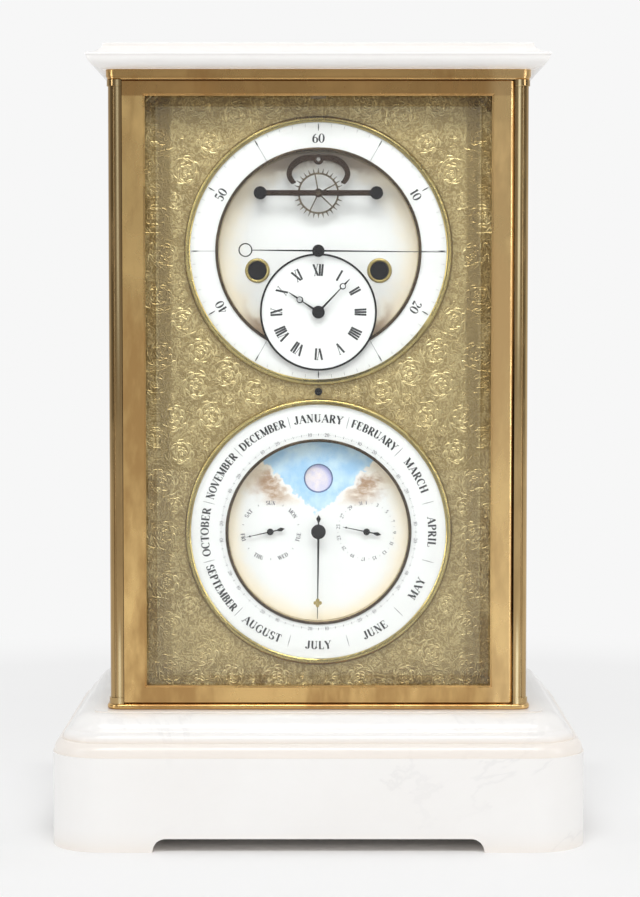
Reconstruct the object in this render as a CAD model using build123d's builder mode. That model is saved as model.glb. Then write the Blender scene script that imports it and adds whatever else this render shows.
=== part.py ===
from build123d import *
from math import atan2, cos, pi, radians, sin, sqrt
import os

os.makedirs("parts", exist_ok=True)

# ----- driving dimensions, millimetres: +X right, +Y to the back, +Z up, floor at z = 0 -----
base_width, base_depth, base_height = 267.0, 204.0, 66.8   # marble plinth
base_corner = 27.0             # plan radius of the plinth's corners
base_wall = 46.8               # height of the plinth's plain face, below its mouldings
foot_gap_width, foot_gap_depth, foot_gap_height = 164.0, 104.0, 6.8
foot_height, cap_height = 2.7, 5.0                          # brass plates under and over the posts
top_base = 387.0               # underside of the marble top
top_width, top_depth = 230.0, 168.0                         # over its nose
case_width, case_depth = 210.0, 148.0                       # over the corner posts

post_radius = 5.0
post_x, post_y = case_width / 2 - post_radius, case_depth / 2 - post_radius
foot_top = base_height + foot_height
cap_base = top_base - cap_height
case_height = cap_base - foot_top
gap = 0.3                      # clearance round a door
bolt_x, bolt_y, bolt_radius, bolt_sink = 101.0, 67.5, 2.0, 20.0
cap_screw_x, cap_screw_y, cap_screw_radius = 150.0, 92.0, 2.0

door_width, door_thick = 195.6, 6.0
door_stile, door_top_rail, door_bottom_rail = 11.4, 7.7, 8.9
door_low, door_high = foot_top + gap, cap_base - gap
door_height = door_high - door_low
pane_rebate, pane_edge, pane_rise, pane_bevel = 2.5, 2.0, 2.2, 7.8
pivot_radius = 1.5             # hinge pins of the doors
pivot_x = door_width / 2 - door_thick / 2
pivot_y = case_depth / 2 - door_thick / 2

time_z, calendar_z = 297.3, 155.3                           # dial centres
hours_drop, escape_rise, anchor_rise = 30.7, 29.3, 46.3     # from the time dial's centre
hours_z, escape_z, anchor_z = time_z - hours_drop, time_z + escape_rise, time_z + anchor_rise
winding_x, winding_z = 31.0, time_z - 9.6
small_dial_x, small_dial_z = 24.5, calendar_z - 0.3         # calendar sub-dials
small_arbor, moon_rise = 0.8, 26.9                          # their arbors, height of the moon opening
moon_throw = 13.8              # moon disc's arbor above the moon opening
mask_front, mask_thick = -59.0, 2.0
mask_back = mask_front + mask_thick
enamel_radius, bezel_radius = 64.6, 67.7
time_well, calendar_well = 50.5, 45.7                       # radii of the sunk centres
ring_front = mask_front - 1.0
time_floor, calendar_floor = -50.5, -54.5                   # fronts of the sunk enamels
hours_radius = 29.5
hours_front = -62.2
plate_radius, plate_thick = 53.0, 2.5                       # movement plates
front_plate, back_plate = -45.0, -10.0                      # their front faces
bridge_front, bridge_thick, bridge_reach = -58.6, 1.4, 29.3
tooth_count, escape_radius, escape_rim = 30, 12.6, 10.4
pallet_angle = 63.0            # pallets either side of the vertical, seen from the escape wheel
hand_thick = 0.4
running = 0.05                 # radial clearance of an arbor in its hole
arbor_radius = 1.0
calendar_plate, calendar_back = -45.0, -30.0                # front faces of the calendar's plates
calendar_radius = 47.0
calendar_spots = [(-36.0, 24.0), (36.0, 24.0), (-28.0, -30.0), (28.0, -30.0)]   # pillars, from the centre
pillar_spots = [(-22.5, 43.5), (22.5, 43.5), (-21.0, -42.5), (21.0, -42.5)]
tenon_radius = 1.6
hammer_x, hammer_z = -30.0, 335.0
bell_y = -26.0
pendulum_y = 14.0

# the going train: wheel teeth, pinion leaves, and the third arbor between minute and seconds arbors
third_x, third_z = 2.0, hours_z + 16.0
centre_teeth, third_teeth, leaves = 64, 60, 8
seconds_teeth, relay_teeth = 60, 30        # seconds arbor to escape arbor, in front of the plate
tooth_rise, tooth_depth, tooth_land = 0.65, 2.2, 0.12       # of the module, the module, the pitch
wheel_thick, relay_front = 1.0, -47.6
centre_front, third_front = -33.0, -41.4
barrel_teeth, barrel_tip, barrel_root = 72, 20.6, 19.4

# the calendar's star wheels: points and radius, and the front face of each
weekday_star, date_star = (7, 9.0, -40.0), (31, 11.4, -37.0)
month_star, moon_star = (12, 10.0, -34.0), (59, 9.6, -40.0)

mask_screw_z, mask_screw_radius = 226.4, 1.0
strap_angles = (45, 135, 225, 315)          # angle straps between the dials and the movement plates
reed_radius, reed_turn = 0.55, 24.0         # groove down each post, and its direction from the front
grommet_radius = 5.6
hours_foot_x, hours_foot_z, hours_foot_radius = 17.0, hours_z + 12.0, 1.4
latch_x, latch_z, latch_radius = 92.0, 226.0, 1.5
jar_x, jar_radius, jar_low, jar_high = 10.2, 8.2, 106.0, 192.0
mercury_depth = 64.0


def facing(y, x=0.0, z=0.0, clockwise=0.0):
    """Plane at depth y that faces the front; its own +Y is the 12 o'clock direction, turned."""
    turn = radians(clockwise)
    return Plane(origin=(x, y, z), x_dir=(cos(turn), 0, -sin(turn)), z_dir=(0, -1, 0))


def turning(x, z):
    """Plane for a turned section: its own X is the radius and its own Y is depth."""
    return Plane(origin=(x, 0, z), x_dir=(1, 0, 0), z_dir=(0, 0, 1))


def spindle(x, z):
    return Axis((x, 0, z), (0, 1, 0))


def keep(piece, name):
    """Label a finished piece and write it as its own node."""
    piece.part.label = name
    export_step(piece.part, f"parts/{name}.step")


# ===== marble =====
def plinth():
    """Marble block with a moulded shoulder and a cross of channels that leaves four corner feet."""
    front_channel = foot_channel(facing(base_depth / 2 + 1), foot_gap_width)
    side_channel = foot_channel(Plane.YZ.offset(-base_width / 2 - 1), foot_gap_depth)
    with BuildPart() as marble_base:
        with BuildSketch():
            RectangleRounded(base_width, base_depth, base_corner)
        extrude(amount=base_height)
        with BuildLine() as plan:
            half_x, half_y = base_width / 2, base_depth / 2
            straight_x, straight_y = half_x - base_corner, half_y - base_corner
            Line((0, -half_y, base_wall), (straight_x, -half_y, base_wall))
            RadiusArc((straight_x, -half_y, base_wall), (half_x, -straight_y, base_wall), -base_corner)
            Line((half_x, -straight_y, base_wall), (half_x, straight_y, base_wall))
            RadiusArc((half_x, straight_y, base_wall), (straight_x, half_y, base_wall), -base_corner)
            Line((straight_x, half_y, base_wall), (-straight_x, half_y, base_wall))
            RadiusArc((-straight_x, half_y, base_wall), (-half_x, straight_y, base_wall), -base_corner)
            Line((-half_x, straight_y, base_wall), (-half_x, -straight_y, base_wall))
            RadiusArc((-half_x, -straight_y, base_wall), (-straight_x, -half_y, base_wall), -base_corner)
            Line((-straight_x, -half_y, base_wall), (0, -half_y, base_wall))
        with BuildSketch(Plane(origin=(0, -base_depth / 2, base_wall), x_dir=(0, -1, 0), z_dir=(-1, 0, 0))):
            shoulder = base_height - base_wall
            with BuildLine():
                # quirk, ovolo, cove, fillet and cushion, from the plain face up to the plateau
                Line((0, 0), (-0.7, 0))
                Line((-0.7, 0), (-0.7, 0.8))
                ThreePointArc((-0.7, 0.8), (-1.6, 4.2), (-4.0, 6.6))
                Line((-4.0, 6.6), (-5.2, 6.6))
                ThreePointArc((-5.2, 6.6), (-6.1, 9.6), (-8.6, 11.6))
                Line((-8.6, 11.6), (-9.2, 12.4))
                ThreePointArc((-9.2, 12.4), (-13.4, 17.6), (-21.0, shoulder - 0.6))
                Line((-21.0, shoulder - 0.6), (-21.0, shoulder + 1))
                Line((-21.0, shoulder + 1), (1, shoulder + 1))
                Line((1, shoulder + 1), (1, 0))
                Line((1, 0), (0, 0))
            make_face()
        sweep(path=plan.line, transition=Transition.RIGHT, mode=Mode.SUBTRACT)
        extrude(front_channel, amount=base_depth + 2, mode=Mode.SUBTRACT)
        extrude(side_channel, amount=base_width + 2, mode=Mode.SUBTRACT)
        with BuildSketch(Plane.XY):
            with GridLocations(2 * bolt_x, 2 * bolt_y, 2, 2):
                Circle(bolt_radius)
        extrude(amount=base_height, mode=Mode.SUBTRACT)
        with BuildSketch(Plane.XY):
            with GridLocations(2 * bolt_x, 2 * bolt_y, 2, 2):
                Circle(bolt_radius + 4.5)
        extrude(amount=bolt_sink, mode=Mode.SUBTRACT)
    keep(marble_base, "marble_base")


def foot_channel(plane, width):
    """Section of a channel under the plinth, with quarter-round upper corners."""
    half, bend = width / 2, foot_gap_height - 0.3
    with BuildSketch(plane) as channel:
        with BuildLine():
            Line((-half, -1), (-half, 0.3))
            RadiusArc((-half, 0.3), (-half + bend, foot_gap_height), bend)
            Line((-half + bend, foot_gap_height), (half - bend, foot_gap_height))
            RadiusArc((half - bend, foot_gap_height), (half, 0.3), bend)
            Line((half, 0.3), (half, -1))
            Line((half, -1), (-half, -1))
        make_face()
    return channel.sketch


def case_fasteners():
    """Bolts that rise through the plinth into the posts, and slotted screws up into the marble top."""
    with BuildPart() as fasteners:
        with BuildSketch(Plane.XY.offset(bolt_sink - 4)):
            with GridLocations(2 * bolt_x, 2 * bolt_y, 2, 2):
                RegularPolygon(5.4, 6)
        extrude(amount=4)
        with BuildSketch(Plane.XY.offset(bolt_sink)):
            with GridLocations(2 * bolt_x, 2 * bolt_y, 2, 2):
                Circle(bolt_radius)
        extrude(amount=foot_top + 12 - bolt_sink)
        with BuildSketch(Plane.XY.offset(cap_base - 2.4)):
            with GridLocations(cap_screw_x, cap_screw_y, 2, 2):
                Circle(4)
        extrude(amount=2.4)
        with BuildSketch(Plane.XY.offset(cap_base - 2.4)):
            with GridLocations(cap_screw_x, cap_screw_y, 2, 2):
                Rectangle(9, 0.9)
        extrude(amount=0.9, mode=Mode.SUBTRACT)
        with BuildSketch(Plane.XY.offset(cap_base)):
            with GridLocations(cap_screw_x, cap_screw_y, 2, 2):
                Circle(cap_screw_radius)
        extrude(amount=cap_height)
    keep(fasteners, "case_fasteners")


def marble_slab():
    """Marble top: a flat tier, a cove down to the nose, and an ovolo back under to the brass cap."""
    nose_in = (top_width - case_width) / 2 - 2.4
    with BuildPart() as marble_top:
        with BuildSketch(Plane.XY.offset(top_base)):
            Rectangle(top_width, top_depth)
        extrude(amount=13.0)
        with BuildLine() as plan:
            Polyline((0, -top_depth / 2, top_base), (top_width / 2, -top_depth / 2, top_base),
                     (top_width / 2, top_depth / 2, top_base), (-top_width / 2, top_depth / 2, top_base),
                     (-top_width / 2, -top_depth / 2, top_base), (0, -top_depth / 2, top_base))
        with BuildSketch(Plane(origin=(0, -top_depth / 2, top_base), x_dir=(0, -1, 0), z_dir=(-1, 0, 0))):
            with BuildLine():
                Line((1, -1), (-nose_in, -1))
                Line((-nose_in, -1), (-nose_in, 0.3))
                ThreePointArc((-nose_in, 0.3), (-2.6, 2.2), (-0.5, 6.0))
                ThreePointArc((-0.5, 6.0), (0, 6.8), (-0.5, 7.6))
                ThreePointArc((-0.5, 7.6), (-5.4, 8.9), (-8.0, 11.4))
                Line((-8.0, 11.4), (-8.0, 14))
                Line((-8.0, 14), (1, 14))
                Line((1, 14), (1, -1))
            make_face()
        sweep(path=plan.line, transition=Transition.RIGHT, mode=Mode.SUBTRACT)
        fillet(marble_top.faces().sort_by(Axis.Z)[-1].edges(), 0.5)
    keep(marble_top, "marble_top")


# ===== brass case =====
def foot_plate():
    """Brass plate with a rounded edge on which the posts stand."""
    with BuildPart() as plate:
        with BuildSketch(Plane.XY.offset(base_height)):
            RectangleRounded(case_width + 3, case_depth + 3, post_radius + 1.5)
        extrude(amount=foot_height)
        fillet(plate.faces().sort_by(Axis.Z)[-1].edges(), 1.2)
        fillet(plate.faces().sort_by(Axis.Z)[0].edges(), 1.0)
        with BuildSketch(Plane.XY.offset(base_height)):
            with GridLocations(2 * bolt_x, 2 * bolt_y, 2, 2):
                Circle(bolt_radius)
            with GridLocations(0, 2 * pivot_y, 1, 2):
                with Locations((pivot_x, 0)):
                    Circle(pivot_radius + running)
        extrude(amount=foot_height, mode=Mode.SUBTRACT)
    keep(plate, "foot_plate")


def top_plate():
    """Brass cap plate over the posts, with a stepped lower edge and the upper hinge holes."""
    with BuildPart() as plate:
        with BuildSketch(Plane.XY.offset(cap_base)):
            RectangleRounded(case_width + 1, case_depth + 1, post_radius + 0.5)
        extrude(amount=1.6)
        with BuildSketch(Plane.XY.offset(cap_base + 1.6)):
            RectangleRounded(case_width + 2, case_depth + 2, post_radius + 1)
        extrude(amount=cap_height - 1.6)
        chamfer(plate.faces().sort_by(Axis.Z)[0].edges(), 0.6)
        with BuildSketch(Plane.XY.offset(cap_base)):
            with GridLocations(0, 2 * pivot_y, 1, 2):
                with Locations((pivot_x, 0)):
                    Circle(pivot_radius + running)
        extrude(amount=3.4, mode=Mode.SUBTRACT)
        with BuildSketch(Plane.XY.offset(cap_base)):
            with GridLocations(cap_screw_x, cap_screw_y, 2, 2):
                Circle(cap_screw_radius + running)
        extrude(amount=cap_height, mode=Mode.SUBTRACT)
    keep(plate, "top_plate")


def corner_posts():
    """Four round posts with a reed and end collars, each rebated for a door and grooved for a pane."""
    stile_x = door_width / 2 + gap
    stop_y = case_depth / 2 - door_thick - gap
    flange_x, flange_y = 6.9, 8.0
    reed_x = post_x + post_radius * sin(radians(reed_turn))
    reed_y = post_y + post_radius * cos(radians(reed_turn))
    collar = 3.0
    with BuildPart() as posts:
        for side_x in (-1, 1):
            for side_y in (-1, 1):
                with BuildSketch(Plane.XY.offset(foot_top)):
                    with Locations((side_x * post_x, side_y * post_y)):
                        Circle(post_radius)
                    with Locations((side_x * (post_x - 0.05), side_y * (post_y - 3))):
                        Rectangle(flange_x, flange_y)
                    with Locations((side_x * (stile_x - 5), side_y * (stop_y + 5))):
                        Rectangle(10, 10, mode=Mode.SUBTRACT)
                    with Locations((side_x * (post_x + 0.7), side_y * (post_y - 5.75))):
                        Rectangle(3.0, 2.5, mode=Mode.SUBTRACT)
                    with Locations((side_x * reed_x, side_y * reed_y)):
                        Circle(reed_radius, mode=Mode.SUBTRACT)
                extrude(amount=case_height)
                with BuildSketch(Plane.XY.offset(foot_top), Plane.XY.offset(cap_base - collar)):
                    with Locations((side_x * post_x, side_y * post_y)):
                        Circle(post_radius + 0.6)
                    with Locations((side_x * (stile_x - 5), side_y * (stop_y + 5))):
                        Rectangle(10, 10, mode=Mode.SUBTRACT)
                    with Locations((side_x * (post_x - 2), side_y * (post_y - 9))):
                        Rectangle(20, 12, mode=Mode.SUBTRACT)
                extrude(amount=collar)
        with BuildSketch(Plane.XY.offset(foot_top)):
            with GridLocations(2 * bolt_x, 2 * bolt_y, 2, 2):
                Circle(bolt_radius)
        extrude(amount=12, mode=Mode.SUBTRACT)
    keep(posts, "corner_posts")


def panes(planes, width, height, name):
    """Glass with a wide polished bevel; a plane's origin is the middle of a pane's flat back."""
    with BuildPart() as glass:
        for plane in planes:
            with BuildSketch(plane):
                Rectangle(width, height)
            extrude(amount=pane_edge)
            with BuildSketch(plane.offset(pane_edge)):
                Rectangle(width, height)
            with BuildSketch(plane.offset(pane_edge + pane_rise)):
                Rectangle(width - 2 * pane_bevel, height - 2 * pane_bevel)
            loft()
    keep(glass, name)


def door_plane(side_y, inset=0.0):
    """Plane parallel to a door, inset from its outer face, facing out of the case."""
    if side_y < 0:
        return Plane(origin=(0, -case_depth / 2 + inset, 0), x_dir=(1, 0, 0), z_dir=(0, -1, 0))
    return Plane(origin=(0, case_depth / 2 - inset, 0), x_dir=(-1, 0, 0), z_dir=(0, 1, 0))


def door(side_y, latch_hole, name):
    """Door frame with a full-round hinge stile and a chamfered sight edge, its bead and its pane."""
    hinge = 1 if side_y < 0 else -1
    open_width = door_width - 2 * door_stile
    open_height = door_height - door_top_rail - door_bottom_rail
    open_z = door_low + door_bottom_rail + open_height / 2
    with BuildPart() as frame:
        with BuildSketch(door_plane(side_y, door_thick)):
            with Locations((0, door_low + door_height / 2)):
                Rectangle(door_width, door_height)
        extrude(amount=door_thick)
        fillet(frame.edges().filter_by(Axis.Z).group_by(Axis.X)[-1], door_thick / 2 - 0.01)
        chamfer(frame.faces().sort_by(Axis.Y)[0 if side_y < 0 else -1].edges().filter_by(Axis.X), 0.5)
        with BuildSketch(door_plane(side_y)):
            with Locations((0, open_z)):
                Rectangle(open_width, open_height)
        extrude(amount=-door_thick, mode=Mode.SUBTRACT)
        sight = frame.faces().sort_by(Axis.Y)[0 if side_y < 0 else -1].inner_wires()[0].edges()
        chamfer(sight, 1.0)
        with BuildSketch(door_plane(side_y, 2.0)):
            with Locations((0, open_z)):
                Rectangle(open_width + 2 * pane_rebate, open_height + 2 * pane_rebate)
        extrude(amount=-door_thick, mode=Mode.SUBTRACT)
        with BuildSketch(Plane.XY.offset(door_low), Plane.XY.offset(door_high - 6)):
            with Locations((pivot_x, side_y * pivot_y)):
                Circle(pivot_radius)
        extrude(amount=6, mode=Mode.SUBTRACT)
        if latch_hole:
            with BuildSketch(door_plane(side_y)):
                with Locations((-hinge * latch_x, latch_z)):
                    Circle(latch_radius + running)
            extrude(amount=-door_thick, mode=Mode.SUBTRACT)
        with BuildSketch(door_plane(side_y, door_thick)):
            with Locations((0, open_z)):
                Rectangle(open_width + 2 * pane_rebate - 0.02, open_height + 2 * pane_rebate - 0.02)
                Rectangle(open_width, open_height, mode=Mode.SUBTRACT)
        extrude(amount=0.98)
    keep(frame, f"{name}_door_frame")
    glass_plane = door_plane(side_y, door_thick - 1.0)
    glass_plane.origin = glass_plane.origin + Vector(0, 0, open_z)
    panes([glass_plane], open_width + 2 * pane_rebate, open_height + 2 * pane_rebate, f"{name}_glass")


def hinge_pins(side_y, name):
    """Upper and lower pivot pins of a door."""
    with BuildPart() as pins:
        with BuildSketch(Plane.XY.offset(door_low - 2.6), Plane.XY.offset(door_high - 6)):
            with Locations((pivot_x, side_y * pivot_y)):
                Circle(pivot_radius)
        extrude(amount=8.6)
    keep(pins, f"{name}_hinge_pins")


def rear_latch():
    """Turned knob outside the rear door, with a tongue inside that swings behind the post."""
    face, inside = case_depth / 2, case_depth / 2 - 12.3
    with BuildPart() as latch:
        with BuildSketch(turning(-latch_x, latch_z)):
            with BuildLine():
                Line((0, inside - 2), (latch_radius, inside - 2))
                Line((latch_radius, inside - 2), (latch_radius, face + 0.2))
                Line((latch_radius, face + 0.2), (3.4, face + 0.2))
                Line((3.4, face + 0.2), (3.4, face + 1.2))
                ThreePointArc((3.4, face + 1.2), (1.9, face + 2.6), (3.2, face + 4.4))
                ThreePointArc((3.2, face + 4.4), (4.6, face + 6.6), (3.4, face + 8.6))
                ThreePointArc((3.4, face + 8.6), (2.3, face + 9.3), (1.0, face + 9.6))
                Line((1.0, face + 9.6), (0, face + 9.6))
                Line((0, face + 9.6), (0, inside - 2))
            make_face()
        revolve(axis=spindle(-latch_x, latch_z))
        with BuildSketch(Plane.XZ.offset(-inside)):
            with Locations((-latch_x, latch_z + 2.4)):
                SlotOverall(9.2, 4.4, rotation=90)
        extrude(amount=1.7)
    keep(latch, "rear_latch")


def front_catch():
    """Bent spring leaf under the cap plate that the front door's top rail closes against."""
    with BuildPart() as catch:
        with BuildSketch(Plane.YZ.offset(-4)):
            with BuildLine():
                Polyline((-60, cap_base), (-60, cap_base - 0.8), (-65.9, cap_base - 0.8),
                         (-66.6, cap_base - 5), (-65.8, cap_base - 9.3), (-66.3, cap_base - 9.5),
                         (-67.3, cap_base - 5), (-66.6, cap_base), close=True)
            make_face()
        extrude(amount=8)
    keep(catch, "front_catch")


# ===== dials =====
def mask_plate():
    """Brass plate that fills the case behind the front door and carries both dials."""
    width, height = 190.0, case_height - 0.4
    with BuildPart() as mask:
        with BuildSketch(facing(mask_back)):
            with Locations((0, foot_top + case_height / 2)):
                Rectangle(width, height)
            with Locations((0, time_z), (0, calendar_z)):
                Circle(enamel_radius - 2.6, mode=Mode.SUBTRACT)
            with Locations((0, mask_screw_z)):
                Circle(mask_screw_radius, mode=Mode.SUBTRACT)
        extrude(amount=mask_thick)
    keep(mask, "mask_plate")


def dial_mounts():
    """Crossbar and corner angles behind the mask, and angle straps out to both movement plates."""
    reach, strap_in, strap_out = 96.5, 46.0, bezel_radius - 1.0
    with BuildPart() as mounts:
        with BuildSketch(facing(mask_back + 4)):
            with Locations((0, mask_screw_z)):
                Rectangle(2 * reach, 9)
                Circle(mask_screw_radius, mode=Mode.SUBTRACT)
        extrude(amount=4)
        with BuildSketch(facing(mask_back + 6)):
            with Locations((0, foot_top + case_height / 2)):
                with GridLocations(2 * reach - 7, case_height - 30, 2, 2):
                    Rectangle(7, 14)
        extrude(amount=6)
        for z in (time_z, calendar_z):
            for angle in strap_angles:
                out = Vector(cos(radians(angle)), sin(radians(angle)))
                centre = out * (strap_in + strap_out) / 2
                with BuildSketch(facing(front_plate, 0, z)):
                    with Locations(Location((centre.X, centre.Y, 0), (0, 0, angle))):
                        SlotOverall(strap_out - strap_in + 4, 8)
                extrude(amount=2)
                with BuildSketch(facing(front_plate - 2, 0, z)):
                    with Locations(tuple(out * (strap_out - 1.6))[:2]):
                        Circle(2.6)
                extrude(amount=front_plate - 2 - mask_back)
    keep(mounts, "dial_mounts")


def bezels():
    """Turned brass rings round the dials, hollow on the inner slope and rounded outside."""
    inner = enamel_radius + 0.1
    with BuildPart() as rings:
        for z in (time_z, calendar_z):
            with BuildSketch(turning(0, z)):
                with BuildLine():
                    Line((inner, mask_front), (bezel_radius, mask_front))
                    Line((bezel_radius, mask_front), (bezel_radius, mask_front - 1.1))
                    ThreePointArc((bezel_radius, mask_front - 1.1), (bezel_radius - 0.5, mask_front - 2.5),
                                  (bezel_radius - 1.6, mask_front - 3.0))
                    ThreePointArc((bezel_radius - 1.6, mask_front - 3.0),
                                  (bezel_radius - 2.2, mask_front - 2.2), (inner, mask_front - 1.6))
                    Line((inner, mask_front - 1.6), (inner, mask_front))
                make_face()
            revolve(axis=spindle(0, z))
    keep(rings, "dial_bezels")


def enamel_ring(z, inner, name):
    """Enamelled copper ring, slightly domed, lying on the mask plate."""
    crest = ((inner + enamel_radius) / 2, ring_front - 0.2)
    with BuildPart() as ring:
        with BuildSketch(turning(0, z)):
            with BuildLine():
                Line((inner, mask_front), (enamel_radius, mask_front))
                Line((enamel_radius, mask_front), (enamel_radius, ring_front + 0.2))
                ThreePointArc((enamel_radius, ring_front + 0.2), crest, (inner + 1.0, ring_front))
                Line((inner + 1.0, ring_front), (inner, ring_front))
                Line((inner, ring_front), (inner, mask_front))
            make_face()
        revolve(axis=spindle(0, z))
    keep(ring, name)


def well_walls():
    """Polished tubes from the sunk centres up to a bead that laps each enamel ring."""
    lip = ring_front
    with BuildPart() as walls:
        for z, radius, back in ((time_z, time_well, time_floor + 1.4),
                                (calendar_z, calendar_well, calendar_floor + 1.2)):
            with BuildSketch(turning(0, z)):
                with BuildLine():
                    Line((radius, back), (radius, lip - 0.5))
                    ThreePointArc((radius, lip - 0.5), (radius + 0.75, lip - 0.95), (radius + 1.5, lip - 0.5))
                    Line((radius + 1.5, lip - 0.5), (radius + 1.5, lip))
                    Line((radius + 1.5, lip), (radius + 0.8, lip))
                    Line((radius + 0.8, lip), (radius + 0.8, back))
                    Line((radius + 0.8, back), (radius, back))
                make_face()
            revolve(axis=spindle(0, z))
    keep(walls, "dial_wells")


def time_centre():
    """Sunk white enamel with holes for the winding arbors, the escapement and the hand arbors."""
    with BuildPart() as disc:
        with BuildSketch(facing(time_floor + 1.4)):
            with Locations((0, time_z)):
                Circle(time_well - 0.1)
            with Locations((-winding_x, winding_z), (winding_x, winding_z)):
                Circle(grommet_radius, mode=Mode.SUBTRACT)
            with Locations((0, time_z), (0, escape_z), (0, anchor_z)):
                Circle(1.8, mode=Mode.SUBTRACT)
            with Locations((0, hours_z)):
                Circle(3.0, mode=Mode.SUBTRACT)
            with Locations((-bridge_reach, escape_z), (bridge_reach, escape_z)):
                Circle(2.2, mode=Mode.SUBTRACT)
            with Locations((-hours_foot_x, hours_foot_z), (hours_foot_x, hours_foot_z)):
                Circle(hours_foot_radius, mode=Mode.SUBTRACT)
        extrude(amount=1.4)
    keep(disc, "time_centre_dial")


def grommets():
    """Flanged brass bushes in the two winding holes."""
    with BuildPart() as bushes:
        for side in (-1, 1):
            with BuildSketch(turning(side * winding_x, winding_z)):
                with BuildLine():
                    Line((4.7, time_floor + 1.4), (grommet_radius, time_floor + 1.4))
                    Line((grommet_radius, time_floor + 1.4), (grommet_radius, time_floor))
                    Line((grommet_radius, time_floor), (6.3, time_floor))
                    ThreePointArc((6.3, time_floor), (5.7, time_floor - 0.7), (4.7, time_floor - 0.3))
                    Line((4.7, time_floor - 0.3), (4.7, time_floor + 1.4))
                make_face()
            revolve(axis=spindle(side * winding_x, winding_z))
    keep(bushes, "winding_grommets")


def hours_dial():
    """Small enamel for hours and minutes, its thin ring, and the feet that carry it."""
    back = hours_front + 1.2
    with BuildPart() as dial:
        with BuildSketch(facing(back, 0, hours_z)):
            Circle(hours_radius - 1.0)
            Circle(2.6, mode=Mode.SUBTRACT)
        extrude(amount=1.2)
    keep(dial, "hours_dial")
    with BuildPart() as ring:
        with BuildSketch(turning(0, hours_z)):
            with BuildLine():
                Line((hours_radius - 1.0, back), (hours_radius, back))
                Line((hours_radius, back), (hours_radius, hours_front - 0.2))
                ThreePointArc((hours_radius, hours_front - 0.2), (hours_radius - 0.5, hours_front - 0.7),
                              (hours_radius - 1.0, hours_front - 0.2))
                Line((hours_radius - 1.0, hours_front - 0.2), (hours_radius - 1.0, back))
            make_face()
        revolve(axis=spindle(0, hours_z))
        with BuildSketch(facing(front_plate)):
            with Locations((-hours_foot_x, hours_foot_z), (hours_foot_x, hours_foot_z)):
                Circle(hours_foot_radius)
        extrude(amount=front_plate - back)
        with BuildSketch(facing(front_plate)):
            with Locations((-hours_foot_x, hours_foot_z), (hours_foot_x, hours_foot_z)):
                Circle(hours_foot_radius + 1)
        extrude(amount=front_plate - time_floor - 1.4)
    keep(ring, "hours_ring")


def calendar_centre():
    """Sunk enamel of the calendar with its round moon opening and three arbor holes."""
    with BuildPart() as disc:
        with BuildSketch(facing(calendar_floor + 1.2, 0, calendar_z)):
            Circle(calendar_well - 0.1)
            with Locations((0, moon_rise)):
                Circle(7.4, mode=Mode.SUBTRACT)
            with Locations((0, 0), (-small_dial_x, -0.3), (small_dial_x, -0.3)):
                Circle(1.5, mode=Mode.SUBTRACT)
        extrude(amount=1.2)
    keep(disc, "calendar_centre_dial")


# ===== wheels =====
def tooth_line(teeth, pitch_radius, phase):
    """Closed outline of V-gapped teeth with flat tips; one tooth is centred on the phase angle."""
    module = 2 * pitch_radius / teeth
    tip = pitch_radius + tooth_rise * module
    root = tip - tooth_depth * module
    pitch = 2 * pi / teeth
    corners = []
    for k in range(teeth):
        for radius, turn in ((root, -0.5), (tip, -tooth_land), (tip, tooth_land)):
            angle = phase + (k + turn) * pitch
            corners.append((radius * cos(angle), radius * sin(angle)))
    return corners


def gear(front, x, z, teeth, pitch_radius, phase, rim=0.0, spokes=0):
    """Flat outline of a wheel or a pinion; a wheel with a rim is crossed out between its spokes."""
    with BuildSketch(facing(front + wheel_thick, x, z)) as outline:
        with BuildLine():
            Polyline(*tooth_line(teeth, pitch_radius, phase), close=True)
        make_face()
        if spokes:
            inner = pitch_radius - rim
            Circle(inner, mode=Mode.SUBTRACT)
            with PolarLocations(inner / 2, spokes):
                Rectangle(inner + 1.0, 1.5)
            Circle(3.2)
    return outline.sketch


def star(plan, x, z):
    """Flat outline of a calendar star wheel: a disc with pointed teeth."""
    points, radius, front = plan
    depth = min(2.4, 3.2 * radius / points)
    corners = []
    for k in range(points):
        for reach, turn in ((radius, 0.0), (radius - depth, 0.5)):
            angle = 2 * pi * (k + turn) / points
            corners.append((reach * cos(angle), reach * sin(angle)))
    with BuildSketch(facing(front + wheel_thick, x, z)) as outline:
        with BuildLine():
            Polyline(*corners, close=True)
        make_face()
    return outline.sketch


def meshed(x, z, next_x, next_z):
    """Distance between two arbors, and the direction from the first to the second."""
    across, up = next_x - x, next_z - z
    return sqrt(across * across + up * up), atan2(up, across)


def third_wheel():
    """Wheel and pinion between the minute arbor and the seconds arbor, on one arbor."""
    to_minute, minute_way = meshed(third_x, third_z, 0, hours_z)
    to_seconds, seconds_way = meshed(third_x, third_z, 0, time_z)
    pinion = gear(centre_front, third_x, third_z, leaves,
                  to_minute * leaves / (centre_teeth + leaves), minute_way + pi / leaves)
    wheel = gear(third_front, third_x, third_z, third_teeth,
                 to_seconds * third_teeth / (third_teeth + leaves), seconds_way, 2.2, 4)
    hub_radius, hub_front, hub_back = 2.6, third_front - 0.6, third_front + 2.4
    rear = back_plate + plate_thick
    with BuildPart() as piece:
        extrude(pinion, amount=wheel_thick + 0.6, both=True)
        extrude(wheel, amount=wheel_thick)
        with BuildSketch(turning(third_x, third_z)):
            with BuildLine():
                Polyline((0, front_plate), (arbor_radius, front_plate), (arbor_radius, hub_front),
                         (hub_radius, hub_front), (hub_radius, hub_back), (arbor_radius, hub_back),
                         (arbor_radius, rear), (0, rear), close=True)
            make_face()
        revolve(axis=spindle(third_x, third_z))
    keep(piece, "third_wheel")


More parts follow.
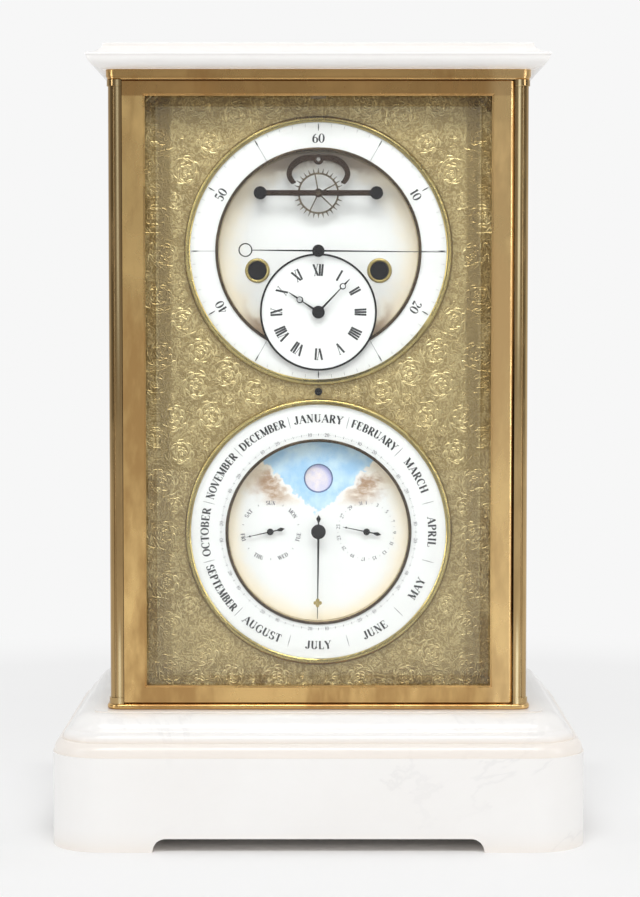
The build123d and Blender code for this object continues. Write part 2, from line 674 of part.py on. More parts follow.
# ===== hands =====
def arbor_section(front, back, radius, boss_back, boss_radius):
    """Half section of an arbor whose front end is a domed collet that holds a hand."""
    rise = boss_back - front
    with BuildSketch(Plane.XY) as section:
        with BuildLine():
            Line((0, back), (radius, back))
            Line((radius, back), (radius, boss_back))
            Line((radius, boss_back), (boss_radius, boss_back))
            Line((boss_radius, boss_back), (boss_radius, boss_back - 0.35 * rise))
            ThreePointArc((boss_radius, boss_back - 0.35 * rise),
                          (0.74 * boss_radius, boss_back - 0.82 * rise), (0.3 * boss_radius, front))
            Line((0.3 * boss_radius, front), (0, front))
            Line((0, front), (0, back))
        make_face()
    return section.sketch


def moon_style(length, ring_at, ring_radius, root, back, clockwise, bore, boss, pipe, name):
    """Open-ring hand: a slim tapering blade, a pierced disc near its end, and a fine point."""
    with BuildPart() as hand:
        with BuildSketch(facing(back, 0, hours_z, clockwise)):
            Circle(boss)
            with BuildLine():
                Polyline((-root, 0), (-0.22, ring_at - ring_radius + 0.3),
                         (0.22, ring_at - ring_radius + 0.3), (root, 0), close=True)
            make_face()
            with BuildLine():
                Polyline((-0.5, ring_at + ring_radius - 0.3), (-0.16, length), (0.16, length),
                         (0.5, ring_at + ring_radius - 0.3), close=True)
            make_face()
            with Locations((0, ring_at)):
                Circle(ring_radius)
            with Locations((0, ring_at + 0.12)):
                Circle(ring_radius - 0.5, mode=Mode.SUBTRACT)
            Circle(bore, mode=Mode.SUBTRACT)
        extrude(amount=hand_thick)
        if pipe:
            with BuildSketch(facing(front_plate - 0.3, 0, hours_z)):
                Circle(pipe)
                Circle(bore, mode=Mode.SUBTRACT)
            extrude(amount=front_plate - 0.3 - back)
    keep(hand, name)


def time_hands():
    """Hour, minute and centre seconds hands, set at about seven minutes past ten."""
    moon_style(17.8, 11.2, 1.7, 0.75, -63.0, 303.6, arbor_radius + running, 3.2, 1.8, "hour_hand")
    moon_style(22.8, 17.8, 1.6, 0.65, -64.2, 43.5, arbor_radius, 2.6, 0, "minute_hand")
    with BuildPart() as seconds:
        with BuildSketch(facing(-65.7, 0, time_z, 90.6)):
            Circle(2.4)
            with BuildLine():
                Polyline((-0.45, 0), (-0.12, 64.0), (0.12, 64.0), (0.45, 0), close=True)
            make_face()
            with BuildLine():
                Polyline((-0.5, 0), (-0.2, -33.4), (0.2, -33.4), (0.5, 0), close=True)
            make_face()
            with Locations((0, -36.6)):
                Circle(3.5)
                Circle(2.9, mode=Mode.SUBTRACT)
            Circle(arbor_radius, mode=Mode.SUBTRACT)
        extrude(amount=hand_thick)
    keep(seconds, "seconds_hand")


def small_hand(x, z, clockwise, wheel, name):
    """Calendar hand with a bead near its point and a leaf-shaped tail, its arbor and its star wheel."""
    arbor = arbor_section(-57.2, calendar_back + plate_thick, small_arbor, -56.3, 1.7)
    outline = star(wheel, x, z)
    with BuildPart() as hand:
        with BuildSketch(facing(-55.9, x, z, clockwise)):
            Circle(1.7)
            with BuildLine():
                Polyline((-0.32, 0), (-0.1, 12.4), (0.1, 12.4), (0.32, 0), close=True)
            make_face()
            with Locations((0, 10.6)):
                RegularPolygon(0.62, 4)
            with BuildLine():
                Polyline((-0.35, 0), (-0.3, -3.4), (-1.0, -5.6), (0, -7.6), (1.0, -5.6),
                         (0.3, -3.4), (0.35, 0), close=True)
            make_face()
        extrude(amount=hand_thick)
        with BuildSketch(turning(x, z)):
            add(arbor)
        revolve(axis=spindle(x, z))
        extrude(outline, amount=wheel_thick)
    keep(hand, name)


def month_hand():
    """Long calendar hand with a small cross near its point, its arbor, collet and star wheel."""
    outline = star(month_star, 0, calendar_z)
    arbor = arbor_section(-61.0, calendar_back + plate_thick, arbor_radius, -59.3, 3.7)
    with BuildPart() as hand:
        with BuildSketch(facing(-58.9, 0, calendar_z, 180.6)):
            Circle(2.6)
            with BuildLine():
                Polyline((-0.6, 0), (-0.16, 44.4), (0.16, 44.4), (0.6, 0), close=True)
            make_face()
            with Locations((0, 35.0), (0, 37.6), (-1.2, 36.3), (1.2, 36.3)):
                Circle(0.95)
            with BuildLine():
                Polyline((-0.5, 0), (-0.35, -4.6), (-1.2, -6.6), (0, -8.6), (1.2, -6.6),
                         (0.35, -4.6), (0.5, 0), close=True)
            make_face()
        extrude(amount=hand_thick)
        with BuildSketch(turning(0, calendar_z)):
            add(arbor)
        revolve(axis=spindle(0, calendar_z))
        extrude(outline, amount=wheel_thick)
    keep(hand, "month_hand")


def moon_disc():
    """Disc with two painted moons that turns behind the round opening, its arbor and toothed wheel."""
    outline = star(moon_star, 0, calendar_z + moon_rise + moon_throw)
    with BuildPart() as disc:
        with BuildSketch(facing(-51.9, 0, calendar_z + moon_rise + moon_throw)):
            Circle(moon_throw + 8.6)
        extrude(amount=0.9)
        with BuildSketch(facing(calendar_back + plate_thick, 0, calendar_z + moon_rise + moon_throw)):
            Circle(arbor_radius)
        extrude(amount=calendar_back + plate_thick + 51.9)
        extrude(outline, amount=wheel_thick)
    keep(disc, "moon_disc")


# ===== escapement =====
def escape_wheel():
    """Brass wheel with thirty slender teeth, on an arbor with the wheel that turns the seconds arbor."""
    distance, way = meshed(0, escape_z, 0, time_z)
    relay = gear(relay_front, 0, escape_z, relay_teeth,
                 distance * relay_teeth / (relay_teeth + seconds_teeth), way, 1.8, 4)
    with BuildPart() as wheel:
        with BuildSketch(facing(-54.0, 0, escape_z)):
            Circle(escape_rim)
            Circle(escape_rim - 0.9, mode=Mode.SUBTRACT)
            with PolarLocations(0, tooth_count, start_angle=90):
                Polygon((escape_rim - 0.3, -0.42), (escape_radius, -0.08), (escape_radius, 0.08),
                        (escape_rim - 0.3, 0.42), align=None)
            with PolarLocations(escape_rim / 2, 5, start_angle=100):
                Rectangle(escape_rim - 0.6, 0.6)
        extrude(amount=1.0)
        with BuildSketch(turning(0, escape_z)):
            with BuildLine():
                Polyline((0, bridge_front), (arbor_radius, bridge_front), (arbor_radius, -55.6), (2.0, -55.6),
                         (2.0, -53.2), (arbor_radius, -53.2), (arbor_radius, back_plate + plate_thick),
                         (0, back_plate + plate_thick), close=True)
            make_face()
        revolve(axis=spindle(0, escape_z))
        extrude(relay, amount=wheel_thick)
    keep(wheel, "escape_wheel")


def anchor():
    """Polished steel arch that straddles the escape wheel, with a round crown for its arbor."""
    pallet_x = escape_radius * sin(radians(pallet_angle))
    pallet_z = escape_z + escape_radius * cos(radians(pallet_angle))
    with BuildPart() as arch:
        with BuildSketch(facing(-53.4)):
            with BuildLine():
                Spline((-pallet_x - 2.2, pallet_z - 1.2), (-16.0, escape_z + 11), (-10.4, escape_z + 18.0),
                       (0, escape_z + 19.3), (10.4, escape_z + 18.0), (16.0, escape_z + 11),
                       (pallet_x + 2.2, pallet_z - 1.2))
                Line((pallet_x + 2.2, pallet_z - 1.2), (pallet_x + 0.3, pallet_z - 0.5))
                Line((pallet_x + 0.3, pallet_z - 0.5), (pallet_x + 0.9, pallet_z + 1.0))
                Spline((pallet_x + 0.9, pallet_z + 1.0), (13.3, escape_z + 10.6), (8.6, escape_z + 15.2),
                       (0, escape_z + 16.4), (-8.6, escape_z + 15.2), (-13.3, escape_z + 10.6),
                       (-pallet_x - 0.9, pallet_z + 1.0))
                Line((-pallet_x - 0.9, pallet_z + 1.0), (-pallet_x - 0.3, pallet_z - 0.5))
                Line((-pallet_x - 0.3, pallet_z - 0.5), (-pallet_x - 2.2, pallet_z - 1.2))
            make_face()
            with Locations((0, anchor_z)):
                Circle(2.6)
                Circle(arbor_radius, mode=Mode.SUBTRACT)
        extrude(amount=2.2)
        with BuildSketch(facing(-52.9)):
            with Locations((-pallet_x - 0.5, pallet_z), (pallet_x + 0.5, pallet_z)):
                Circle(0.4)
        extrude(amount=3.2)
    keep(arch, "anchor")


def escapement_bridge():
    """Bar in front of the escape wheel, its two pillars, and the slotted screws of the dials."""
    knob_front = bridge_front - 1.4
    with BuildPart() as bar:
        with BuildSketch(facing(bridge_front + bridge_thick, 0, escape_z)):
            Rectangle(2 * bridge_reach, 2.8)
            with Locations((-bridge_reach, 0), (bridge_reach, 0)):
                Circle(3.2)
            Circle(2.2)
            Circle(arbor_radius + running, mode=Mode.SUBTRACT)
            with Locations((-bridge_reach, 0), (bridge_reach, 0)):
                Circle(1.2, mode=Mode.SUBTRACT)
        extrude(amount=bridge_thick)
        for side in (-1, 1):
            with BuildSketch(turning(side * bridge_reach, escape_z)):
                with BuildLine():
                    Polyline((1.2, front_plate), (2.2, front_plate), (2.2, time_floor - 0.2),
                             (2.9, time_floor - 0.2), (2.9, bridge_front + bridge_thick),
                             (1.2, bridge_front + bridge_thick), close=True)
                make_face()
            revolve(axis=spindle(side * bridge_reach, escape_z))
    keep(bar, "escapement_bridge")
    with BuildPart() as screws:
        for side in (-1, 1):
            with BuildSketch(turning(side * bridge_reach, escape_z)):
                with BuildLine():
                    Line((0, front_plate), (1.2, front_plate))
                    Line((1.2, front_plate), (1.2, bridge_front))
                    Line((1.2, bridge_front), (3.3, bridge_front))
                    Line((3.3, bridge_front), (3.3, knob_front + 0.6))
                    ThreePointArc((3.3, knob_front + 0.6), (2.9, knob_front + 0.1), (2.3, knob_front))
                    Line((2.3, knob_front), (0, knob_front))
                    Line((0, knob_front), (0, front_plate))
                make_face()
            revolve(axis=spindle(side * bridge_reach, escape_z))
        with BuildSketch(facing(bridge_front - 0.9, 0, escape_z)):
            with Locations((-bridge_reach, 0), (bridge_reach, 0)):
                Rectangle(0.7, 8)
        extrude(amount=1, mode=Mode.SUBTRACT)
        with BuildSketch(facing(mask_back + 4, 0, mask_screw_z)):
            Circle(mask_screw_radius)
        extrude(amount=4 + mask_thick)
        with BuildSketch(facing(mask_front, 0, mask_screw_z)):
            Circle(1.9)
        extrude(amount=1.0)
        with BuildSketch(facing(mask_front - 0.5, 0, mask_screw_z, 20)):
            Rectangle(4.4, 0.5)
        extrude(amount=1, mode=Mode.SUBTRACT)
    keep(screws, "dial_screws")


# ===== movement =====
def pillared_plate(y_front, y_back, z, radius, spots, holes, name):
    """Front plate with its riveted turned pillars, which end in tenons through the back plate."""
    with BuildPart() as plate:
        with BuildSketch(facing(y_front + plate_thick, 0, z)):
            Circle(radius)
            for hole_x, hole_z, arbor in holes:
                with Locations((hole_x, hole_z - z)):
                    Circle(arbor + running, mode=Mode.SUBTRACT)
        extrude(amount=plate_thick)
        for x, dz in spots:
            inner = y_front + plate_thick
            with BuildSketch(turning(x, z + dz)):
                with BuildLine():
                    Polyline((0, inner - 0.5), (3.4, inner - 0.5), (3.4, inner + 2), (2.4, inner + 4),
                             (2.4, y_back - 4), (3.4, y_back - 2), (3.4, y_back), (tenon_radius, y_back),
                             (tenon_radius, y_back + plate_thick), (0, y_back + plate_thick), close=True)
                make_face()
            revolve(axis=spindle(x, z + dz))
    keep(plate, name)


def back_disc(y, z, radius, spots, holes, name):
    """Rear plate, drilled for the arbors and for the pillars' tenons."""
    tenons = [(x, z + dz, tenon_radius - running) for x, dz in spots]
    with BuildPart() as plate:
        with BuildSketch(facing(y + plate_thick, 0, z)):
            Circle(radius)
            for hole_x, hole_z, arbor in list(holes) + tenons:
                with Locations((hole_x, hole_z - z)):
                    Circle(arbor + running, mode=Mode.SUBTRACT)
        extrude(amount=plate_thick)
    keep(plate, name)


def barrel(side, name):
    """Spring barrel: drum, toothed great wheel in front, and a snapped-in cap."""
    with BuildPart() as drum:
        with BuildSketch(facing(-37.5, side * winding_x, winding_z)):
            Circle(barrel_root)
            with PolarLocations(0, barrel_teeth):
                Polygon((barrel_root - 0.3, -0.62), (barrel_tip, -0.22), (barrel_tip, 0.22),
                        (barrel_root - 0.3, 0.62), align=None)
            Circle(2.5 + running, mode=Mode.SUBTRACT)
        extrude(amount=2.0)
        with BuildSketch(turning(side * winding_x, winding_z)):
            with BuildLine():
                Polyline((2.5 + running, -37.5), (18.0, -37.5), (18.0, -15.5), (17.2, -14.8),
                         (8.0, -14.8), (7.0, -13.9), (2.5 + running, -13.9), close=True)
            make_face()
        revolve(axis=spindle(side * winding_x, winding_z))
    keep(drum, name)


def winding_arbor(side, name):
    """Barrel arbor with a winding square behind the dial and a ratchet wheel on the front plate."""
    x = side * winding_x
    with BuildPart() as arbor:
        with BuildSketch(facing(back_plate + plate_thick, x, winding_z)):
            Circle(2.5)
        extrude(amount=back_plate + plate_thick - front_plate)
        with BuildSketch(facing(front_plate, x, winding_z)):
            Rectangle(3.4, 3.4)
        extrude(amount=5.0)
        with BuildSketch(facing(front_plate - 0.2, x, winding_z)):
            with PolarLocations(0, 24):
                Polygon((5.4, -0.9), (7.4, -0.5), (5.4, 0.9), align=None)
            Circle(5.8)
        extrude(amount=1.6)
    keep(arbor, name)


def bell():
    """Cup-shaped bell over the movement, on a stand that springs from the back plate."""
    y = bell_y
    mouth, crown = 356.0, 373.5
    axis = Axis((0, y, 0), (0, 0, 1))
    with BuildPart() as cup:
        with BuildSketch(Plane(origin=(0, y, 0), x_dir=(1, 0, 0), z_dir=(0, -1, 0))):
            with BuildLine():
                Line((2.0, crown), (2.0, crown - 1.4))
                Line((2.0, crown - 1.4), (6.0, crown - 1.4))
                ThreePointArc((6.0, crown - 1.4), (17.0, crown - 5.6), (20.6, mouth + 4))
                Line((20.6, mouth + 4), (22.4, mouth))
                Line((22.4, mouth), (24.0, mouth))
                Line((24.0, mouth), (22.2, mouth + 4.4))
                ThreePointArc((22.2, mouth + 4.4), (18.2, crown - 4.4), (6.0, crown))
                Line((6.0, crown), (2.0, crown))
            make_face()
        revolve(axis=axis)
    keep(cup, "bell")
    with BuildPart() as stand:
        with BuildSketch(Plane(origin=(0, y, 0), x_dir=(1, 0, 0), z_dir=(0, -1, 0))):
            with BuildLine():
                Polyline((0, 353.6), (4.2, 353.6), (4.2, 355.4), (2.6, 356.6), (2.6, crown - 1.6),
                         (2.0, crown - 1.6), (2.0, crown), (4.4, crown), (4.4, crown + 1.6),
                         (2.4, crown + 2.6), (0, crown + 2.6), close=True)
            make_face()
        revolve(axis=axis)
        with BuildSketch(Plane.XY.offset(351.8)):
            with BuildLine():
                Polyline((-4, y - 4), (4, y - 4), (24, back_plate - 3), (24, back_plate + 3.7),
                         (16, back_plate + 3.7), (16, back_plate + 1), (-4, y + 4), close=True)
            make_face()
        extrude(amount=1.8)
        with BuildSketch(facing(back_plate + plate_thick + 1.2)):
            with Locations((20, 342.4)):
                Rectangle(8, 22.4)
        extrude(amount=1.2)
    keep(stand, "bell_stand")


def hammer():
    """Strike hammer: arbor between the plates, slim arm and a round steel head by the bell's rim."""
    y = bell_y
    head_plane = Plane(origin=(hammer_x - 1.6, y, hammer_z + 23.4), x_dir=(0, 1, 0), z_dir=(1, 0, 0))
    with BuildPart() as striker:
        with BuildSketch(facing(back_plate + plate_thick, hammer_x, hammer_z)):
            Circle(arbor_radius)
        extrude(amount=back_plate + plate_thick - front_plate)
        with BuildSketch(facing(y + 2, hammer_x, hammer_z)):
            Circle(2.6)
        extrude(amount=4)
        with BuildSketch(facing(y + 0.8, hammer_x, hammer_z)):
            with Locations((0, 11.5)):
                Rectangle(1.8, 21)
        extrude(amount=1.6)
        with BuildSketch(head_plane):
            Circle(3.2)
        extrude(amount=7.0)
        chamfer(striker.faces().sort_by(Axis.X)[-1].edges(), 0.6)
    keep(striker, "hammer")


# ===== pendulum =====
def pallet_cock():
    """Brass cock behind the back plate that bears the pallet arbor and carries the suspension."""
    plate = back_plate + plate_thick
    with BuildPart() as cock:
        with BuildSketch(Plane.XY.offset(anchor_z + 5.0)):
            with Locations((0, plate + 13)):
                Rectangle(14, 26)
        extrude(amount=3)
        with BuildSketch(facing(plate + 10, 0, anchor_z)):
            Circle(4.0)
            with Locations((0, 2.5)):
                Rectangle(8, 5)
            Circle(arbor_radius + running, mode=Mode.SUBTRACT)
        extrude(amount=2)
        for side in (-1, 1):
            with BuildSketch(facing(plate + 3, side * 9.8, anchor_z)):
                with Locations((0, 1.5)):
                    Rectangle(8, 13)
            extrude(amount=3)
            with BuildSketch(Plane.XY.offset(anchor_z - 1.0)):
                with Locations((side * 6.5, plate + 5)):
                    Rectangle(1.4, 10)
            extrude(amount=6.2)
        with BuildSketch(facing(pendulum_y + 3)):
            with Locations((0, anchor_z + 2.5)):
                Rectangle(6, 5)
                with Locations((0, -1.5)):
                    Rectangle(1.0, 2.1, mode=Mode.SUBTRACT)
        extrude(amount=6)
    keep(cock, "pallet_cock")


def crutch():
    """Pallet arbor from the anchor in front to the rear cock, with the crutch and its fork."""
    back = 6.0
    with BuildPart() as arm:
        with BuildSketch(facing(back, 0, anchor_z)):
            Circle(arbor_radius)
        extrude(amount=back + 55.6)
        with BuildSketch(facing(6.0, 0, anchor_z)):
            Circle(2.6)
            with Locations((0, -17)):
                Rectangle(1.8, 34)
        extrude(amount=1.4)
        with BuildSketch(Plane.XY.offset(anchor_z - 34)):
            with Locations((0, 6)):
                Rectangle(8, 2.8)
            with Locations((-3.0, 12), (3.0, 12)):
                Rectangle(1.6, 12)
        extrude(amount=2)
    keep(arm, "crutch")


def pendulum():
    """Steel rod on a spring, and a brass stirrup with two glass jars of mercury."""
    cross_z = jar_high + 7.0
    with BuildPart() as spring:
        with BuildSketch(Plane.XY.offset(anchor_z - 6.7)):
            with Locations((0, pendulum_y)):
                Rectangle(0.2, 4.4)
        extrude(amount=6.7 + 1.6)
    keep(spring, "suspension_spring")
    with BuildPart() as rod:
        with BuildSketch(Plane.XY.offset(cross_z + 3)):
            with Locations((0, pendulum_y)):
                Circle(1.6)
        extrude(amount=anchor_z - 12 - cross_z - 3)
        with BuildSketch(facing(pendulum_y + 2.4, 0, anchor_z - 9.5)):
            Rectangle(5.6, 5.6)
        extrude(amount=4.8)
        fillet(rod.edges().filter_by(Axis.Y), 1.0)
    keep(rod, "pendulum_rod")
    with BuildPart() as stirrup:
        with BuildSketch(Plane.XY.offset(cross_z), Plane.XY.offset(jar_low - 5)):
            with Locations((0, pendulum_y)):
                SlotOverall(46, 14)
        extrude(amount=3)
        with BuildSketch(Plane.XY.offset(jar_low - 2)):
            with Locations((-jar_x - 10.6, pendulum_y), (jar_x + 10.6, pendulum_y)):
                Circle(1.3)
        extrude(amount=cross_z - jar_low + 2)
        for side in (-1, 1):
            with BuildSketch(Plane.XY.offset(jar_low - 2)):
                with Locations((side * jar_x, pendulum_y)):
                    Circle(jar_radius + 0.9)
                    Circle(jar_radius + running, mode=Mode.SUBTRACT)
            extrude(amount=4)
            with BuildSketch(Plane.XY.offset(jar_high)):
                with Locations((side * jar_x, pendulum_y)):
                    Circle(jar_radius + 0.6)
            extrude(amount=4)
            with BuildSketch(Plane.XY.offset(jar_high + 4)):
                with Locations((side * jar_x, pendulum_y)):
                    Circle(2.4)
            extrude(amount=3)
        with BuildSketch(Plane.XY.offset(jar_low - 9)):
            with Locations((0, pendulum_y)):
                Circle(1.5)
        extrude(amount=4)
    keep(stirrup, "pendulum_stirrup")
    with BuildPart() as jars:
        with BuildSketch(Plane.XY.offset(jar_low - 2)):
            with Locations((-jar_x, pendulum_y), (jar_x, pendulum_y)):
                Circle(jar_radius)
        extrude(amount=jar_high - jar_low + 2)
        with BuildSketch(Plane.XY.offset(jar_low)):
            with Locations((-jar_x, pendulum_y), (jar_x, pendulum_y)):
                Circle(jar_radius - 1.1)
        extrude(amount=jar_high - jar_low, mode=Mode.SUBTRACT)
    keep(jars, "mercury_jars")
    with BuildPart() as mercury:
        with BuildSketch(Plane.XY.offset(jar_low)):
            with Locations((-jar_x, pendulum_y), (jar_x, pendulum_y)):
                Circle(jar_radius - 1.1)
        extrude(amount=mercury_depth)
        fillet(mercury.faces().sort_by(Axis.Z)[-2:].edges(), 0.9)
    keep(mercury, "mercury")
    with BuildPart() as nut:
        with BuildSketch(Plane.XY.offset(jar_low - 13)):
            with Locations((0, pendulum_y)):
                Circle(5.0)
                with PolarLocations(5.0, 20):
                    Circle(0.35, mode=Mode.SUBTRACT)
        extrude(amount=3.4)
        with BuildSketch(Plane.XY.offset(jar_low - 9.6)):
            with Locations((0, pendulum_y)):
                Circle(3.0)
        extrude(amount=4.3)
        with BuildSketch(Plane.XY.offset(jar_low - 9)):
            with Locations((0, pendulum_y)):
                Circle(1.5 + running)
        extrude(amount=5, mode=Mode.SUBTRACT)
    keep(nut, "rating_nut")


def arbor(x, z, front, boss_back, boss_radius, wheels, name):
    """Arbor through the movement whose front end carries a hand, with the wheels fixed on it."""
    section = arbor_section(front, back_plate + plate_thick, arbor_radius, boss_back, boss_radius)
    with BuildPart() as shaft:
        with BuildSketch(turning(x, z)):
            add(section)
        revolve(axis=spindle(x, z))
        for outline, thick in wheels:
            extrude(outline, amount=thick)
    keep(shaft, name)


def seconds_wheels():
    """On the seconds arbor: the wheel that the escape arbor meets, and the third wheel's pinion."""
    to_escape, escape_way = meshed(0, time_z, 0, escape_z)
    to_third, third_way = meshed(0, time_z, third_x, third_z)
    radius = to_escape * seconds_teeth / (relay_teeth + seconds_teeth)
    wheel = gear(relay_front, 0, time_z, seconds_teeth, radius, escape_way + pi / seconds_teeth, 2.6, 5)
    pinion = gear(third_front + 0.5, 0, time_z, leaves,
                  to_third * leaves / (third_teeth + leaves), third_way + pi / leaves)
    return [(wheel, wheel_thick), (pinion, wheel_thick + 1.0)]


def centre_wheel():
    """On the minute arbor: the wheel that meets the third wheel's pinion."""
    to_third, third_way = meshed(0, hours_z, third_x, third_z)
    radius = to_third * centre_teeth / (centre_teeth + leaves)
    return [(gear(centre_front, 0, hours_z, centre_teeth, radius, third_way, 2.2, 5), wheel_thick)]


for step in (plinth, case_fasteners, marble_slab, foot_plate, top_plate, corner_posts, rear_latch,
             front_catch, mask_plate, dial_mounts, bezels, well_walls, time_centre, grommets, hours_dial,
             calendar_centre, time_hands, month_hand, moon_disc, third_wheel, escape_wheel, anchor,
             escapement_bridge, bell, hammer, pallet_cock, crutch, pendulum):
    step()

for side_x, side_name in ((-1, "left"), (1, "right")):
    side_plane = Plane(origin=(side_x * (post_x - 0.7), 0, foot_top + case_height / 2),
                       x_dir=(0, side_x, 0), z_dir=(side_x, 0, 0))
    panes([side_plane], 128.4, case_height, f"side_glass_{side_name}")

for side_y, door_name in ((-1, "front"), (1, "rear")):
    door(side_y, door_name == "rear", door_name)
    hinge_pins(side_y, door_name)

enamel_ring(time_z, time_well + 0.9, "seconds_ring")
enamel_ring(calendar_z, calendar_well + 0.9, "month_ring")

arbor(0, time_z, -67.6, -66.1, 3.1, seconds_wheels(), "seconds_arbor")
arbor(0, hours_z, -65.6, -64.6, 3.2, centre_wheel(), "minute_arbor")
small_hand(-small_dial_x, small_dial_z, 257.3, weekday_star, "weekday_hand")
small_hand(small_dial_x, small_dial_z, 281.6, date_star, "date_hand")

movement_holes = [(0, time_z, arbor_radius), (0, hours_z, arbor_radius), (0, escape_z, arbor_radius),
                  (0, anchor_z, arbor_radius), (hammer_x, hammer_z, arbor_radius),
                  (third_x, third_z, arbor_radius),
                  (-winding_x, winding_z, 2.5), (winding_x, winding_z, 2.5)]
pillared_plate(front_plate, back_plate, time_z, plate_radius, pillar_spots, movement_holes,
               "movement_front_plate")
back_disc(back_plate, time_z, plate_radius, pillar_spots, movement_holes, "movement_back_plate")
calendar_holes = [(0, calendar_z, arbor_radius), (-small_dial_x, small_dial_z, small_arbor),
                  (small_dial_x, small_dial_z, small_arbor),
                  (0, calendar_z + moon_rise + moon_throw, arbor_radius)]
pillared_plate(calendar_plate, calendar_back, calendar_z, calendar_radius, calendar_spots, calendar_holes,
               "calendar_front_plate")
back_disc(calendar_back, calendar_z, calendar_radius, calendar_spots, calendar_holes, "calendar_back_plate")
for side, train in ((1, "going"), (-1, "strike")):
    barrel(side, f"{train}_barrel")
    winding_arbor(side, f"{train}_winding_arbor")
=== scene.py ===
import math
import random
import bpy
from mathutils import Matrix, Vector


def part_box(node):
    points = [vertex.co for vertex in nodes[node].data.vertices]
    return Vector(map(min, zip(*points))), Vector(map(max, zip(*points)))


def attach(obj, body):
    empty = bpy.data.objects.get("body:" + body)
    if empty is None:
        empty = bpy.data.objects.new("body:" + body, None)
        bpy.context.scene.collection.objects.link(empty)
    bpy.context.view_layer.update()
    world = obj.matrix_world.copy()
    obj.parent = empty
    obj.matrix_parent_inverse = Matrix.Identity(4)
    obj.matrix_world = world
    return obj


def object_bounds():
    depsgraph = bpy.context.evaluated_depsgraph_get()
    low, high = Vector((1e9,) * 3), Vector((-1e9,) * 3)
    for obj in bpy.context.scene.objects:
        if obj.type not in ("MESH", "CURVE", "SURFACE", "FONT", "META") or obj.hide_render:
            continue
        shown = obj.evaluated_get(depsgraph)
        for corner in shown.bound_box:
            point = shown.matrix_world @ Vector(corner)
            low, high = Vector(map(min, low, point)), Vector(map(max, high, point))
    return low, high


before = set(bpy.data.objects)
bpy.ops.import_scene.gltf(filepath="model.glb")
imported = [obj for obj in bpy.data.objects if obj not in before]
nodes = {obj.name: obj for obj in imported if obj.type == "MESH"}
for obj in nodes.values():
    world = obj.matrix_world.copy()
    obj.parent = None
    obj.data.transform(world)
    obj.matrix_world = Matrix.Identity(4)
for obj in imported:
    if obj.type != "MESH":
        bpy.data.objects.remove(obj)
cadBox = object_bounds()
print("frame loaded:", len(nodes), "nodes")

mm = 0.001


def addObject(name, data):
    thing = bpy.data.objects.new(name, data)
    bpy.context.scene.collection.objects.link(thing)
    return thing


# small helpers for node trees

def setInputs(tree, node, inputs):
    # an output is linked, and anything else becomes the input's own value
    for name, value in inputs.items():
        socket = node.inputs[name]
        if isinstance(value, bpy.types.NodeSocket):
            tree.links.new(value, socket)
        elif socket.type == "RGBA" and len(value) == 3:
            socket.default_value = (*value, 1)
        else:
            socket.default_value = value


def addNode(tree, kind, inputs, **settings):
    node = tree.nodes.new(kind)
    for name, value in settings.items():
        setattr(node, name, value)
    setInputs(tree, node, inputs)
    return node


def calc(tree, operation, a, b=0.0, c=0.0):
    node = addNode(tree, "ShaderNodeMath", {0: a, 1: b, 2: c}, operation=operation)
    return node.outputs[0]


def blendColour(tree, amount, a, b):
    node = addNode(tree, "ShaderNodeMix", {0: amount, 6: a, 7: b}, data_type="RGBA")
    return node.outputs[2]


def remap(tree, value, low, high, outLow=0.0, outHigh=1.0):
    inputs = {0: value, 1: low, 2: high, 3: outLow, 4: outHigh}
    return addNode(tree, "ShaderNodeMapRange", inputs, interpolation_type="SMOOTHSTEP").outputs[0]


def noiseAt(tree, place, scale, detail=3.0, rough=0.55, distortion=0.0):
    inputs = {"Vector": place, "Scale": scale, "Detail": detail, "Roughness": rough,
              "Distortion": distortion}
    return addNode(tree, "ShaderNodeTexNoise", inputs).outputs[0]


def objectPlace(tree):
    return tree.nodes.new("ShaderNodeTexCoord").outputs["Object"]


def axes(tree, vector):
    return addNode(tree, "ShaderNodeSeparateXYZ", {0: vector}).outputs


def fold(tree, operation, first, *others):
    for other in others:
        first = calc(tree, operation, first, other)
    return first


def times(tree, *factors):
    return fold(tree, "MULTIPLY", *factors)


def most(tree, *values):
    return fold(tree, "MAXIMUM", *values)


def faceOn(tree):
    # the place as seen from the front, with its depth taken out
    inputs = {0: objectPlace(tree), 1: (1, 0, 1)}
    return addNode(tree, "ShaderNodeVectorMath", inputs, operation="MULTIPLY").outputs[0]


def distanceFrom(tree, flat, x, z):
    inputs = {0: flat, 1: (x, 0, z)}
    return addNode(tree, "ShaderNodeVectorMath", inputs, operation="DISTANCE").outputs[1]


def stretched(tree, place, stretch):
    inputs = {"Vector": place, "Scale": stretch}
    return addNode(tree, "ShaderNodeMapping", inputs).outputs[0]


def newGroup(name, inputs, outputs):
    tree = bpy.data.node_groups.new(name, "ShaderNodeTree")
    for label, kind, value in inputs:
        socket = tree.interface.new_socket(name=label, in_out="INPUT", socket_type="NodeSocket" + kind)
        socket.default_value = value
    for label, kind in outputs:
        tree.interface.new_socket(name=label, in_out="OUTPUT", socket_type="NodeSocket" + kind)
    return tree, tree.nodes.new("NodeGroupInput").outputs, tree.nodes.new("NodeGroupOutput")


def useGroup(tree, group, inputs):
    return addNode(tree, "ShaderNodeGroup", inputs, node_tree=group).outputs


def newMaterial(name, inputs):
    material = bpy.data.materials.new(name)
    material.use_nodes = True
    tree = material.node_tree
    shader = tree.nodes["Principled BSDF"]
    setInputs(tree, shader, inputs)
    return material, tree, shader


def mixInto(tree, amount, shader, other):
    inputs = {0: amount, 1: shader.outputs[0], 2: other.outputs[0]}
    mixed = addNode(tree, "ShaderNodeMixShader", inputs).outputs[0]
    setInputs(tree, tree.nodes["Material Output"], {"Surface": mixed})


def bump(tree, height, strength, distance):
    inputs = {"Height": height, "Strength": strength, "Distance": distance}
    return addNode(tree, "ShaderNodeBump", inputs).outputs[0]


# shader groups that several finishes share

